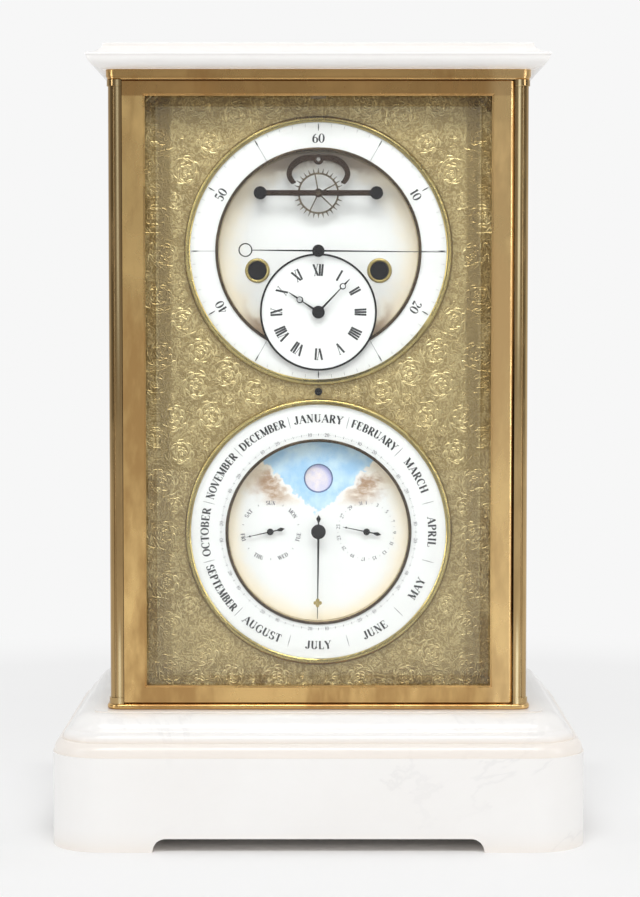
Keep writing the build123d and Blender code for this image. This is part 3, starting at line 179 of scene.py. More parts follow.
def makePatina():
    tree, given, out = newGroup(
        "patina",
        [("Bright", "Color", (1, 1, 1, 1)), ("Dark", "Color", (0, 0, 0, 1)),
         ("Stretch", "Vector", (1, 1, 1)), ("Scale", "Float", 30.0), ("Amount", "Float", 0.5),
         ("Crevice", "Float", 0.5)],
        [("Colour", "Color"), ("Mask", "Float")])
    place = stretched(tree, objectPlace(tree), given["Stretch"])
    broad = noiseAt(tree, place, given["Scale"], 4, 0.6, 0.4)
    fine = noiseAt(tree, place, times(tree, given["Scale"], 7.0), 3, 0.6)
    both = calc(tree, "ADD", times(tree, broad, 0.75), times(tree, fine, 0.25))
    spots = remap(tree, both, 0.42, 0.62)
    hollow = addNode(tree, "ShaderNodeAmbientOcclusion", {"Distance": 0.004}, samples=4).outputs["AO"]
    grime = times(tree, remap(tree, hollow, 0.35, 0.95, 1.0, 0.0), given["Crevice"])
    tarnish = most(tree, times(tree, spots, given["Amount"]), grime)
    colour = blendColour(tree, tarnish, given["Bright"], given["Dark"])
    setInputs(tree, out, {"Colour": colour, "Mask": tarnish})
    return tree


def makeGrain():
    tree, given, out = newGroup(
        "grain",
        [("Stretch", "Vector", (1, 1, 1)), ("Scale", "Float", 900.0), ("Smudge", "Float", 25.0)],
        [("Height", "Float"), ("Smear", "Float")])
    place = objectPlace(tree)
    lines = noiseAt(tree, stretched(tree, place, given["Stretch"]), given["Scale"], 2, 0.6)
    smear = remap(tree, noiseAt(tree, place, given["Smudge"], 5, 0.6), 0.35, 0.7)
    setInputs(tree, out, {"Height": lines, "Smear": smear})
    return tree


patinaGroup = makePatina()
grainGroup = makeGrain()


# metals: one dictionary for each finish, over what a plain turned metal has

plainMetal = {"stretch": (1, 1, 1), "crevice": 0.6, "grain": (1, 1, 1), "grainDepth": 0.03}
metals = {
    "caseBrass": {
        "bright": (0.84, 0.565, 0.228), "dark": (0.36, 0.18, 0.055), "scale": 22, "amount": 0.75,
        "stretch": (1, 1, 0.35), "crevice": 0.7, "rough": (0.24, 0.42), "grain": (1, 1, 0.03),
        "grainScale": 1500, "grainDepth": 0.05},
    "postBrass": {
        "bright": (0.58, 0.41, 0.19), "dark": (0.19, 0.10, 0.035), "scale": 18, "amount": 0.45,
        "stretch": (1, 1, 0.2), "crevice": 0.95, "rough": (0.13, 0.3), "grain": (1, 1, 0.03),
        "grainScale": 1500},
    "bezelBrass": {
        "bright": (0.50, 0.40, 0.155), "dark": (0.26, 0.18, 0.06), "scale": 60, "amount": 0.4,
        "rough": (0.2, 0.38), "grainScale": 2500},
    "wellBrass": {
        "bright": (0.085, 0.055, 0.03), "dark": (0.03, 0.018, 0.01), "scale": 60, "amount": 0.6,
        "rough": (0.2, 0.35), "grain": (1, 0.1, 1), "grainScale": 2500},
    "tarnishedBrass": {
        "bright": (0.17, 0.13, 0.085), "dark": (0.05, 0.035, 0.025), "scale": 120, "amount": 0.6,
        "rough": (0.18, 0.34), "grainScale": 3000},
    "movementBrass": {
        "bright": (0.80, 0.62, 0.28), "dark": (0.45, 0.28, 0.10), "scale": 35, "amount": 0.35,
        "rough": (0.22, 0.36), "grain": (1, 1, 0.05), "grainScale": 2200, "grainDepth": 0.05},
    "dullBrass": {
        "bright": (0.42, 0.32, 0.15), "dark": (0.20, 0.14, 0.06), "scale": 16, "amount": 0.5,
        "crevice": 0.8, "rough": (0.38, 0.55), "grain": (0.05, 1, 1), "grainScale": 1800,
        "grainDepth": 0.05},
    "wheelBrass": {
        "bright": (0.78, 0.60, 0.26), "dark": (0.42, 0.26, 0.09), "scale": 60, "amount": 0.35,
        "crevice": 0.7, "rough": (0.16, 0.3), "grainScale": 3000},
    "bellMetal": {
        "bright": (0.72, 0.60, 0.34), "dark": (0.36, 0.26, 0.12), "scale": 45, "amount": 0.4,
        "crevice": 0.4, "rough": (0.18, 0.32), "grain": (1, 1, 30), "grainScale": 120,
        "grainDepth": 0.08},
    "bluedSteel": {
        "bright": (0.012, 0.011, 0.014), "dark": (0.005, 0.0045, 0.006), "scale": 200, "amount": 0.5,
        "crevice": 0.2, "rough": (0.16, 0.3), "grainScale": 4000, "grainDepth": 0.02},
    "polishedSteel": {
        "bright": (0.46, 0.45, 0.44), "dark": (0.20, 0.17, 0.14), "scale": 90, "amount": 0.4,
        "crevice": 0.5, "rough": (0.12, 0.28), "grainScale": 3000},
    "darkSteel": {
        "bright": (0.055, 0.030, 0.018), "dark": (0.014, 0.007, 0.004), "scale": 150, "amount": 0.5,
        "crevice": 0.5, "rough": (0.15, 0.3), "grain": (0.05, 1, 1), "grainScale": 3500},
}

# the door frames and cap: heights in metres, how far the top and the foot are darkened, and a painted
# highlight that lightens the right stile
caseTonesAndHighlight = {"polished": (0.97, 0.71, 0.355), "topRail": (0.3735, 0.3745), "topDark": 0.76,
            "cap": (0.3816, 0.3822), "capShare": 0.6, "footRail": (0.0810, 0.0790), "footDark": 0.24,
            "rightStile": (0.082, 0.090), "polish": (0.08, 0.42)}
# the corner posts: a painted highlight on the flats toward the top and the foot, and painted shade on
# the posts on the left
postShadeAndHighlight = {"postHighlight": (1.0, 0.84, 0.50), "upper": (0.20, 0.30), "lower": (0.12, 0.09),
            "flat": (1.02, 1.2), "across": (-0.05, 0.05), "highlightAcross": (0.55, 0.9), "leftShade": 0.30,
            "metallic": 0.4}


def wearCase(tree, colour, dark):
    parts = axes(tree, objectPlace(tree))
    # darker toward the top rail, less so on the cap, and darker on the foot rail
    top = times(tree, remap(tree, parts["Z"], *caseTonesAndHighlight["topRail"], 0.0, caseTonesAndHighlight["topDark"]),
                remap(tree, parts["Z"], *caseTonesAndHighlight["cap"], 1.0, caseTonesAndHighlight["capShare"]))
    foot = remap(tree, parts["Z"], *caseTonesAndHighlight["footRail"], 0.0, caseTonesAndHighlight["footDark"])
    colour = blendColour(tree, most(tree, top, foot), colour, dark)
    # a painted highlight lightens the right stile
    polished = remap(tree, parts["X"], *caseTonesAndHighlight["rightStile"], *caseTonesAndHighlight["polish"])
    return blendColour(tree, polished, colour, caseTonesAndHighlight["polished"])


def wearPosts(tree, colour, dark, shader):
    # the sum of a normal's two shares is 1 on a flat and more round a corner
    leans = axes(tree, tree.nodes.new("ShaderNodeTexCoord").outputs["Normal"])
    both = calc(tree, "ADD", calc(tree, "ABSOLUTE", leans["X"]), calc(tree, "ABSOLUTE", leans["Y"]))
    place = axes(tree, objectPlace(tree))
    height = most(tree, remap(tree, place["Z"], *postShadeAndHighlight["upper"]),
                  remap(tree, place["Z"], *postShadeAndHighlight["lower"]))
    # a painted highlight on the front flats near the top and the foot, where the metal is also made
    # less metallic
    postHighlight = times(tree, remap(tree, both, *postShadeAndHighlight["flat"], 1.0, 0.0), height,
                   remap(tree, place["X"], *postShadeAndHighlight["across"], *postShadeAndHighlight["highlightAcross"]))
    # painted shade on the posts on the left
    left = remap(tree, place["X"], *postShadeAndHighlight["across"], postShadeAndHighlight["leftShade"], 0.0)
    colour = blendColour(tree, left, colour, dark)
    setInputs(tree, shader, {"Metallic": remap(tree, postHighlight, 0.0, 1.0, 1.0, postShadeAndHighlight["metallic"])})
    return blendColour(tree, postHighlight, colour, postShadeAndHighlight["postHighlight"])


def makeMetal(name, finish):
    material, tree, shader = newMaterial(name, {"Metallic": 1.0})
    patina = useGroup(tree, patinaGroup, {
        "Bright": finish["bright"], "Dark": finish["dark"], "Stretch": finish["stretch"],
        "Scale": finish["scale"], "Amount": finish["amount"], "Crevice": finish["crevice"]})
    grain = useGroup(tree, grainGroup, {"Stretch": finish["grain"], "Scale": finish["grainScale"]})
    colour = patina["Colour"]
    if name == "caseBrass":
        colour = wearCase(tree, colour, finish["dark"])
    elif name == "postBrass":
        colour = wearPosts(tree, colour, finish["dark"], shader)
    worn = most(tree, patina["Mask"], times(tree, grain["Smear"], 0.7))
    setInputs(tree, shader, {
        "Base Color": colour, "Roughness": remap(tree, worn, 0.0, 1.0, *finish["rough"]),
        "Normal": bump(tree, grain["Height"], finish["grainDepth"], 0.2 * mm)})
    return material


# white marble, with faint veins, painted warm shade in the hollows of the mouldings, and a painted warm
# reflection along a band of them

marbleLook = {"white": (0.960, 0.948, 0.932), "cloud": (0.940, 0.922, 0.902), "cloudScale": 9,
              "vein": (0.76, 0.75, 0.75), "veinScale": 5, "veinWidth": 0.018, "veinDepth": 0.32,
              "hollowShade": (0.90, 0.78, 0.66), "bandReflection": (0.93, 0.84, 0.75),
              "band": (46.6, 47.4, 52.5, 58.0)}     # mm up, where the peach band starts and ends


def makeMarble():
    material, tree, shader = newMaterial(
        "marble", {"IOR": 1.49, "Coat Weight": 0.35, "Coat Roughness": 0.12})
    place = objectPlace(tree)
    clouds = remap(tree, noiseAt(tree, place, marbleLook["cloudScale"], 5, 0.6, 0.3), 0.35, 0.7)
    bent = noiseAt(tree, place, marbleLook["veinScale"], 6, 0.62, 1.6)
    ridge = calc(tree, "ABSOLUTE", calc(tree, "SUBTRACT", bent, 0.5))
    line = remap(tree, ridge, 0.0, marbleLook["veinWidth"], 1.0, 0.0)
    some = remap(tree, noiseAt(tree, place, 11, 2, 0.5), 0.48, 0.68)
    veins = times(tree, line, some, marbleLook["veinDepth"])
    # painted warm shade where the mouldings are hollow
    hollow = addNode(tree, "ShaderNodeAmbientOcclusion", {"Distance": 0.012}, samples=4).outputs["AO"]
    shadeInHollows = remap(tree, hollow, 0.45, 0.95, 0.45, 0.0)
    colour = blendColour(tree, clouds, marbleLook["white"], marbleLook["cloud"])
    colour = blendColour(tree, veins, colour, marbleLook["vein"])
    colour = blendColour(tree, shadeInHollows, colour, marbleLook["hollowShade"])
    # a painted warm reflection along a band of the lower moulding
    height = axes(tree, place)["Z"]
    low, full, fade, high = [level * mm for level in marbleLook["band"]]
    band = times(tree, remap(tree, height, low, full), remap(tree, height, fade, high, 0.6, 0.0))
    grain = useGroup(tree, grainGroup, {"Scale": 600.0, "Smudge": 18.0})
    setInputs(tree, shader, {
        "Base Color": blendColour(tree, band, colour, marbleLook["bandReflection"]),
        "Roughness": remap(tree, grain["Smear"], 0, 1, 0.28, 0.42),
        "Normal": bump(tree, grain["Height"], 0.04, 0.3 * mm)})
    return material


# the gilt dial mask: a stippled ground, and the scrolls that are cut bright on it

maskLook = {"ground": (0.44, 0.33, 0.143), "shade": (0.27, 0.190, 0.070), "cut": (0.59, 0.475, 0.24),
            "bandIn": 74.5 * mm, "bandOut": 81.0 * mm, "bandLow": 150 * mm, "bandHigh": 300 * mm,
            "bandDepth": (0.5, 0.9), "leafScale": 60.0, "leafBend": 26.0}


def borderBand(tree, colour):
    # painted shade: an olive band down each side, deeper toward the top, where the frame and the front
    # pane's bevel shade the mask
    parts = axes(tree, objectPlace(tree))
    side = calc(tree, "ABSOLUTE", parts["X"])
    start = remap(tree, side, maskLook["bandIn"] - mm, maskLook["bandIn"] + mm)
    end = remap(tree, side, maskLook["bandOut"] - mm, maskLook["bandOut"] + mm, 1.0, 0.1)
    deep = remap(tree, parts["Z"], maskLook["bandLow"], maskLook["bandHigh"], *maskLook["bandDepth"])
    return blendColour(tree, times(tree, start, end, deep), colour, maskLook["shade"])


def makeMaskGround():
    material, tree, shader = newMaterial("giltGround", {"Metallic": 0.85})
    place = objectPlace(tree)
    patina = useGroup(tree, patinaGroup, {
        "Bright": maskLook["ground"], "Dark": maskLook["shade"], "Scale": 42.0, "Amount": 0.6,
        "Crevice": 0.6})
    pits = addNode(tree, "ShaderNodeTexVoronoi", {"Vector": place, "Scale": 1400.0}).outputs[0]
    mottle = remap(tree, noiseAt(tree, place, 560, 4, 0.75, 1.2), 0.36, 0.66)
    # fine leafwork: bent bands whose lines curl round each other
    curl = {"Vector": place, "Scale": maskLook["leafScale"], "Distortion": maskLook["leafBend"],
            "Detail": 3.0, "Detail Scale": 2.2, "Detail Roughness": 0.6}
    leafwork = addNode(tree, "ShaderNodeTexWave", curl, bands_direction="DIAGONAL").outputs["Fac"]
    bright = times(tree, remap(tree, leafwork, 0.45, 0.95), remap(tree, mottle, 0, 1, 0.25, 0.85))
    hollow = remap(tree, leafwork, 0.05, 0.4, 0.42, 0.0)
    colour = blendColour(tree, hollow, patina["Colour"], maskLook["shade"])
    relief = calc(tree, "ADD", times(tree, pits, 0.5), leafwork)
    setInputs(tree, shader, {
        "Base Color": borderBand(tree, blendColour(tree, bright, colour, maskLook["cut"])),
        "Roughness": remap(tree, mottle, 0, 1, 0.52, 0.36),
        "Normal": bump(tree, relief, 0.5, 0.2 * mm)})
    return material


def makeMaskCut():
    material, tree, shader = newMaterial("giltCut", {"Metallic": 0.9})
    patina = useGroup(tree, patinaGroup, {
        "Bright": maskLook["cut"], "Dark": maskLook["ground"], "Scale": 24.0, "Amount": 0.6,
        "Crevice": 0.3})
    grain = useGroup(tree, grainGroup, {"Scale": 2600.0})
    setInputs(tree, shader, {
        "Base Color": borderBand(tree, patina["Colour"]),
        "Roughness": remap(tree, grain["Height"], 0.3, 0.7, 0.26, 0.46),
        "Normal": bump(tree, grain["Height"], 0.15, 0.2 * mm)})
    return material


# fired white enamel, and the black and grey enamel that is lettered on it

timeCentre, calendarCentre = (0.0, 297.3 * mm), (0.0, 155.3 * mm)     # x and z
enamelLook = {"white": (0.90, 0.90, 0.905), "shade": (0.86, 0.855, 0.86), "ink": (0.012, 0.012, 0.016),
              "paleInk": (0.13, 0.12, 0.14)}
glaze = {"IOR": 1.55, "Coat Weight": 0.5, "Coat Roughness": 0.06}


def glazeOver(tree, shader, colour):
    place = objectPlace(tree)
    dull = remap(tree, noiseAt(tree, place, 40, 4, 0.6), 0.3, 0.75, 0.16, 0.27)
    ripple = bump(tree, noiseAt(tree, place, 260, 2, 0.5), 0.02, 0.4 * mm)
    setInputs(tree, shader, {"Base Color": colour, "Roughness": dull, "Normal": ripple})


def makeEnamel(name, sunk=False):
    material, tree, shader = newMaterial(name, glaze)
    cloud = remap(tree, noiseAt(tree, objectPlace(tree), 35, 4, 0.6), 0.35, 0.75)
    colour = blendColour(tree, cloud, enamelLook["white"], enamelLook["shade"])
    if sunk:
        # the sunk dial takes a painted reflection and a painted shadow from its wall
        colour = wallTint(tree, colour, timeCentre, timeWall)
    glazeOver(tree, shader, colour)
    return material


# painted light on the edge of a sunk dial: a painted cream reflection of its brass wall, and a painted
# brown shadow toward the top

wallLightLook = {"wallReflection": (1.0, 0.88, 0.70), "topShadow": (0.16, 0.07, 0.03), "cornerShade": (0.30, 0.145, 0.055),
            "near": (7.0 * mm, 2.5 * mm), "top": (0.70, 0.86), "beside": (2 * mm, 11 * mm),
            "hoursCentre": (0.0, 266.6 * mm), "hoursRadius": 29.5 * mm}
timeWall = {"radius": 50.5 * mm, "reach": 13 * mm, "darkest": 0.7}
calendarWall = {"radius": 45.7 * mm, "reach": 9 * mm, "darkest": 0.0}


def wallTint(tree, colour, centre, wall):
    radius, reach, darkest = wall["radius"], wall["reach"], wall["darkest"]
    flat = faceOn(tree)
    noise = noiseAt(tree, objectPlace(tree), 70, 3, 0.6)
    ragged = times(tree, calc(tree, "SUBTRACT", noise, 0.5), reach * 1.1)
    away = calc(tree, "ADD", distanceFrom(tree, flat, *centre), ragged)
    # a painted cream reflection of the brass wall near the edge
    wallReflection = times(tree, remap(tree, away, radius - reach, radius), 0.8)
    colour = blendColour(tree, wallReflection, colour, wallLightLook["wallReflection"])
    up = axes(tree, flat)["Z"]
    high = remap(tree, up, *[centre[1] + radius * part for part in wallLightLook["top"]], 0.0, darkest)
    near = remap(tree, away, *[radius - step for step in wallLightLook["near"]])
    # painted amber shade where the hours dial meets the wall
    beside = calc(tree, "SUBTRACT", distanceFrom(tree, flat, *wallLightLook["hoursCentre"]),
                  wallLightLook["hoursRadius"])
    corner = remap(tree, beside, *wallLightLook["beside"], darkest, 0.0)
    colour = blendColour(tree, times(tree, corner, near), colour, wallLightLook["cornerShade"])
    # a painted brown shadow under the top of the wall
    return blendColour(tree, times(tree, high, near), colour, wallLightLook["topShadow"])


def makeInk(name, colour):
    material, tree, shader = newMaterial(name, {"IOR": 1.5})
    fired = remap(tree, noiseAt(tree, objectPlace(tree), 900, 3, 0.6), 0.3, 0.75)
    pale = tuple(min(1, c * 1.8 + 0.012) for c in colour)
    setInputs(tree, shader, {"Base Color": blendColour(tree, times(tree, fired, 0.5), colour, pale),
                             "Roughness": remap(tree, fired, 0, 1, 0.25, 0.45)})
    return material


# the calendar's enamel centre: a sky between clouds, painted on the white

skyLook = {"blue": (0.36, 0.62, 0.90), "paleBlue": (0.60, 0.80, 0.95), "cloud": (0.42, 0.25, 0.14),
           "softCloud": (0.80, 0.64, 0.50), "edge": (0.94, 0.93, 0.92), "point": 7.6 * mm,
           "slope": 0.98, "ragged": 16 * mm, "within": (-0.4 * mm, 1.2 * mm),
           "near": (-26 * mm, -9.0 * mm), "rim": (-4.5 * mm, -1.0 * mm),
           "cloudsUp": (11 * mm, 18 * mm), "cloudsAside": (11 * mm, 23 * mm)}


def makeSkyEnamel():
    material, tree, shader = newMaterial("paintedEnamel", glaze)
    place = objectPlace(tree)
    parts = axes(tree, place)
    across = calc(tree, "ABSOLUTE", calc(tree, "SUBTRACT", parts["X"], calendarCentre[0]))
    up = calc(tree, "SUBTRACT", parts["Z"], calendarCentre[1])
    noise = noiseAt(tree, place, 190, 4, 0.6)
    ragged = times(tree, calc(tree, "SUBTRACT", noise, 0.5), skyLook["ragged"])
    # how far a point is above the V of the sky, which opens upward from near the centre
    line = calc(tree, "MULTIPLY_ADD", across, skyLook["slope"], skyLook["point"])
    rise = calc(tree, "ADD", calc(tree, "SUBTRACT", up, line), ragged)
    inSky = remap(tree, rise, *skyLook["within"])
    nearSky = remap(tree, rise, *skyLook["near"])
    blueFade = remap(tree, noiseAt(tree, place, 90, 3, 0.6), 0.35, 0.7)
    sky = blendColour(tree, blueFade, skyLook["blue"], skyLook["paleBlue"])
    smoke = remap(tree, noiseAt(tree, stretched(tree, place, (0.7, 1, 1.3)), 120, 5, 0.65), 0.34, 0.56)
    high = remap(tree, up, *skyLook["cloudsUp"])
    aside = remap(tree, across, *skyLook["cloudsAside"])
    soft = times(tree, nearSky, high, 0.6)
    ground = blendColour(tree, soft, enamelLook["white"], skyLook["softCloud"])
    ground = blendColour(tree, times(tree, smoke, high, nearSky, aside), ground, skyLook["cloud"])
    rim = times(tree, remap(tree, rise, *skyLook["rim"]), 0.8)
    ground = blendColour(tree, rim, ground, skyLook["edge"])
    # a painted cream reflection of the wall near its edge, as on the time dial
    ground = wallTint(tree, ground, calendarCentre, calendarWall)
    glazeOver(tree, shader, blendColour(tree, inSky, ground, sky))
    return material


# the moon disc turns behind its opening: two full moons on a blue night

moonLook = {"night": (0.10, 0.15, 0.36), "moon": (0.90, 0.80, 0.80), "cheek": (0.52, 0.52, 0.84),
            "star": (0.85, 0.75, 0.45), "discCentre": (0.0, 196.0 * mm), "moonAway": 13.8 * mm,
            "moonRadius": 7.0 * mm, "litAside": 2.4 * mm, "litBelow": 1.6 * mm}


def makeMoonPaint():
    material, tree, shader = newMaterial(
        "moonPaint", {"IOR": 1.5, "Coat Weight": 0.4, "Coat Roughness": 0.1})
    place = objectPlace(tree)
    flat = faceOn(tree)
    moons, shades = [], []
    x, z = moonLook["discCentre"]
    for side in (-1, 1):
        high = z + side * moonLook["moonAway"]
        away = distanceFrom(tree, flat, x, high)
        awayLit = distanceFrom(tree, flat, x - moonLook["litAside"], high - moonLook["litBelow"])
        moons.append(remap(tree, away, moonLook["moonRadius"], moonLook["moonRadius"] - 0.5 * mm))
        shades.append(remap(tree, awayLit, 5.0 * mm, 9.4 * mm))
    blush = remap(tree, noiseAt(tree, place, 260, 3, 0.6), 0.3, 0.75, 0, 0.5)
    cheeks = most(tree, calc(tree, "MINIMUM", *shades), blush)
    face = blendColour(tree, cheeks, moonLook["moon"], moonLook["cheek"])
    stars = addNode(tree, "ShaderNodeTexVoronoi", {"Vector": place, "Scale": 420.0}).outputs[0]
    star = times(tree, remap(tree, stars, 0.16, 0.06), 0.8)
    night = blendColour(tree, star, moonLook["night"], moonLook["star"])
    glazeOver(tree, shader, blendColour(tree, most(tree, *moons), night, face))
    return material


# glass lets the lamps through, or the clock behind it would be in the dark

glassLook = {"plate": (0.975, 0.99, 0.98), "jar": (0.98, 0.99, 0.99), "bevel": (0.88, 0.92, 0.89),
             "bevelShade": (0.84, 0.80, 0.68), "bevelShadeDark": (0.42, 0.34, 0.22), "streaks": 240,
             "topBevel": (0.362, 0.372), "topDark": 0.22}


def makeGlass(name, colour, bevel, rough, gloss=0.3):
    material, tree, shader = newMaterial(name, {
        "Roughness": rough, "IOR": 1.46, "Transmission Weight": 1.0, "Specular IOR Level": gloss})
    # the bevels are the faces whose normal leans away from every axis
    normal = tree.nodes.new("ShaderNodeNewGeometry").outputs["True Normal"]
    own = addNode(tree, "ShaderNodeVectorTransform", {0: normal}, vector_type="NORMAL",
                  convert_from="WORLD", convert_to="OBJECT")    # so that a door can stand at any angle
    leans = axes(tree, own.outputs[0])
    straight = most(tree, calc(tree, "ABSOLUTE", leans["X"]), calc(tree, "ABSOLUTE", leans["Y"]))
    leaning = remap(tree, straight, 0.9995, 0.998, 0.0, 1.0)
    place = objectPlace(tree)
    if bevel == glassLook["bevelShade"]:
        # painted shade and painted refraction on the front pane's bevels: the engraving behind breaks
        # up into olive streaks, darker toward the top
        along = stretched(tree, place, (1, 1, 0.45))
        streaks = noiseAt(tree, along, glassLook["streaks"], 4, 0.7, 0.6)
        broad = noiseAt(tree, place, 30, 2, 0.6)
        mixed = calc(tree, "MULTIPLY_ADD", calc(tree, "SUBTRACT", broad, 0.5), 0.8, streaks)
        top = remap(tree, axes(tree, place)["Z"], *glassLook["topBevel"], 0.0, glassLook["topDark"])
        mixed = calc(tree, "ADD", mixed, top)
        bevel = blendColour(tree, remap(tree, mixed, 0.34, 0.62), bevel, glassLook["bevelShadeDark"])
    setInputs(tree, shader, {"Base Color": blendColour(tree, leaning, colour, bevel),
                             "Normal": bump(tree, noiseAt(tree, place, 30, 2, 0.5), 0.01, 0.3 * mm)})
    clear = addNode(tree, "ShaderNodeBsdfTransparent", {"Color": colour})
    isShadow = tree.nodes.new("ShaderNodeLightPath").outputs["Is Shadow Ray"]
    mixInto(tree, isShadow, shader, clear)
    return material


def makeMercury():
    material, tree, shader = newMaterial(
        "mercury", {"Metallic": 1.0, "Base Color": (0.78, 0.79, 0.81)})
    skin = noiseAt(tree, objectPlace(tree), 220, 3, 0.5)
    setInputs(tree, shader, {"Roughness": remap(tree, skin, 0.3, 0.75, 0.03, 0.12),
                             "Normal": bump(tree, skin, 0.04, 0.4 * mm)})
    return material


finishes = {name: makeMetal(name, {**plainMetal, **finish}) for name, finish in metals.items()}
finishes.update({
    "marble": makeMarble(), "giltGround": makeMaskGround(), "giltCut": makeMaskCut(),
    "enamel": makeEnamel("whiteEnamel"), "sunkEnamel": makeEnamel("sunkEnamel", sunk=True),
    "ink": makeInk("blackInk", enamelLook["ink"]),
    "paleInk": makeInk("greyInk", enamelLook["paleInk"]),
    "sky": makeSkyEnamel(), "moonPaint": makeMoonPaint(), "mercury": makeMercury(),
    "frontGlass": makeGlass("frontGlass", glassLook["plate"], glassLook["bevelShade"], 0.0, 0.1),
    "glass": makeGlass("plateGlass", glassLook["plate"], glassLook["bevel"], 0.0),
    "jarGlass": makeGlass("jarGlass", glassLook["jar"], glassLook["jar"], 0.01),
})
print("finishes made:", len(finishes))

nodeFinish = {
    "marble": ["marble_base", "marble_top"],
    "caseBrass": ["front_door_frame", "rear_door_frame", "foot_plate", "top_plate", "rear_latch"],
    "postBrass": ["corner_posts"],
    "bezelBrass": ["dial_bezels", "winding_grommets"],
    "wellBrass": ["dial_wells"],
    "giltGround": ["mask_plate"],
    "movementBrass": ["dial_mounts", "movement_front_plate", "movement_back_plate", "pallet_cock",
                      "bell_stand", "calendar_front_plate", "calendar_back_plate", "pendulum_stirrup",
                      "rating_nut"],
    "wheelBrass": ["going_barrel", "strike_barrel", "third_wheel"],
    "tarnishedBrass": ["escape_wheel"],
    "bellMetal": ["bell"],
    "bluedSteel": ["hour_hand", "minute_hand", "seconds_hand", "weekday_hand", "date_hand",
                   "month_hand", "dial_screws", "hours_ring", "seconds_arbor", "minute_arbor",
                   "going_winding_arbor", "strike_winding_arbor"],
    "polishedSteel": ["case_fasteners", "front_hinge_pins", "rear_hinge_pins", "front_catch", "crutch",
                      "suspension_spring", "pendulum_rod", "hammer"],
    "darkSteel": ["escapement_bridge", "anchor"],
    "enamel": ["seconds_ring", "month_ring", "hours_dial"],
    "sunkEnamel": ["time_centre_dial"],
    "sky": ["calendar_centre_dial"],
    "moonPaint": ["moon_disc"],
    "frontGlass": ["front_glass"],
    "glass": ["rear_glass", "side_glass_left", "side_glass_right"],
    "jarGlass": ["mercury_jars"],
    "mercury": ["mercury"],
}
for finish, names in nodeFinish.items():
    for name in names:
        nodes[name].data.materials.clear()
        nodes[name].data.materials.append(finishes[finish])


# some pieces have a second finish, on the faces at these places, in mm
splits = {"wellRim": -59.9, "dialBack": -49.0, "hub": 1.2, "crossFront": -58.0,
          "cross": (-38.6, -34.0)}


def refinish(name, finish, chosen):
    mesh = nodes[name].data
    mesh.materials.append(finishes[finish])
    for face in mesh.polygons:
        if chosen(face):
            face.material_index = len(mesh.materials) - 1


def offAxis(name, depth):
    # tells the faces behind a depth and away from the piece's own axis
    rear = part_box(name)[1][1] - 0.1 * mm
    rearmost = [v.co for v in nodes[name].data.vertices if v.co.y > rear]
    axis = sum(rearmost, Vector()) / len(rearmost)

    def chosen(face):
        away = math.hypot(face.center.x - axis.x, face.center.z - axis.z)
        return face.center.y > depth * mm and away > splits["hub"] * mm
    return chosen


def steelPart(face):
    return face.material_index == 0 and face.center.y > splits["dialBack"] * mm


def bareBack(face):
    return face.material_index == 0 and face.normal.y > 0.5


def giltCross(face):
    low, high = splits["cross"]
    up = face.center.z - calendarCentre[1]
    return face.center.y < splits["crossFront"] * mm and low * mm < up < high * mm


refinish("dial_wells", "bezelBrass", offAxis("dial_wells", splits["wellRim"]))
refinish("escape_wheel", "wheelBrass", offAxis("escape_wheel", splits["dialBack"]))
for name in ("seconds_arbor", "minute_arbor", "weekday_hand", "date_hand", "month_hand", "moon_disc"):
    refinish(name, "wheelBrass", offAxis(name, splits["dialBack"]))
    refinish(name, "polishedSteel", steelPart)
refinish("mask_plate", "dullBrass", bareBack)
refinish("moon_disc", "dullBrass", bareBack)
refinish("month_hand", "bezelBrass", giltCross)
left = set(nodes) - {name for names in nodeFinish.values() for name in names}
print("nodes without a finish:", sorted(left))


# a drawing surface: strokes become thin closed strips on a face that looks to the front

def sections(points, widths):
    # each point of a line, with the step in x and z from there to the line's left edge
    for i, (x, z) in enumerate(points):
        before = points[max(i - 1, 0)]
        after = points[min(i + 1, len(points) - 1)]
        dx, dz = after[0] - before[0], after[1] - before[1]
        length = math.hypot(dx, dz) or 1.0
        yield x, z, -dz / length * widths[i] / 2, dx / length * widths[i] / 2


class Drawing:
    def __init__(self, centre, face, thickness):
        self.centre = centre
        self.face = face
        self.thickness = thickness
        self.verts = []
        self.faces = []

    def put(self, x, z, lift):
        # a point in mm around the centre, lifted to the front of the face
        self.verts.append(((self.centre[0] + x) * mm, (self.face - lift) * mm,
                           (self.centre[1] + z) * mm))

    def strip(self, points, widths):
        # every section of the line has a front and a back pair
        first = len(self.verts)
        for x, z, sideX, sideZ in sections(points, widths):
            for sign in (1, -1):
                for lift in (self.thickness, 0.0):
                    self.put(x + sign * sideX, z + sign * sideZ, lift)
        last = first + 4 * (len(points) - 1)
        for a in range(first, last, 4):
            b = a + 4
            self.faces += [(a, a + 2, b + 2, b), (a + 1, b + 1, b + 3, a + 3),
                           (a, b, b + 1, a + 1), (a + 2, a + 3, b + 3, b + 2)]
        self.faces += [(first, first + 1, first + 3, first + 2), (last, last + 2, last + 3, last + 1)]

    def ridge(self, points, widths, rise):
        # like strip, but with a raised middle line, so that its two slopes catch the light
        first = len(self.verts)
        for i, (x, z, sideX, sideZ) in enumerate(sections(points, widths)):
            self.put(x + sideX, z + sideZ, 0.0)
            self.put(x, z, rise * widths[i] + self.thickness)
            self.put(x - sideX, z - sideZ, 0.0)
        last = first + 3 * (len(points) - 1)
        for a in range(first, last, 3):
            b = a + 3
            self.faces += [(a, a + 1, b + 1, b), (a + 1, a + 2, b + 2, b + 1), (a + 2, a, b, b + 2)]
        self.faces += [(first, first + 2, first + 1), (last, last + 1, last + 2)]

    def make(self, name, finish, body, slot=None):
        mesh = bpy.data.meshes.new(name)
        mesh.from_pydata(self.verts, [], self.faces)
        mesh.materials.append(finishes[finish])
        piece = addObject(name, mesh)
        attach(piece, body)
        return piece


# pen lettering: each letter is a few strokes on a body one unit high
# stem x, low, high | hair x, z, x, z | slope x, z, x, z | bowl cx, cz, rx, rz, from, to

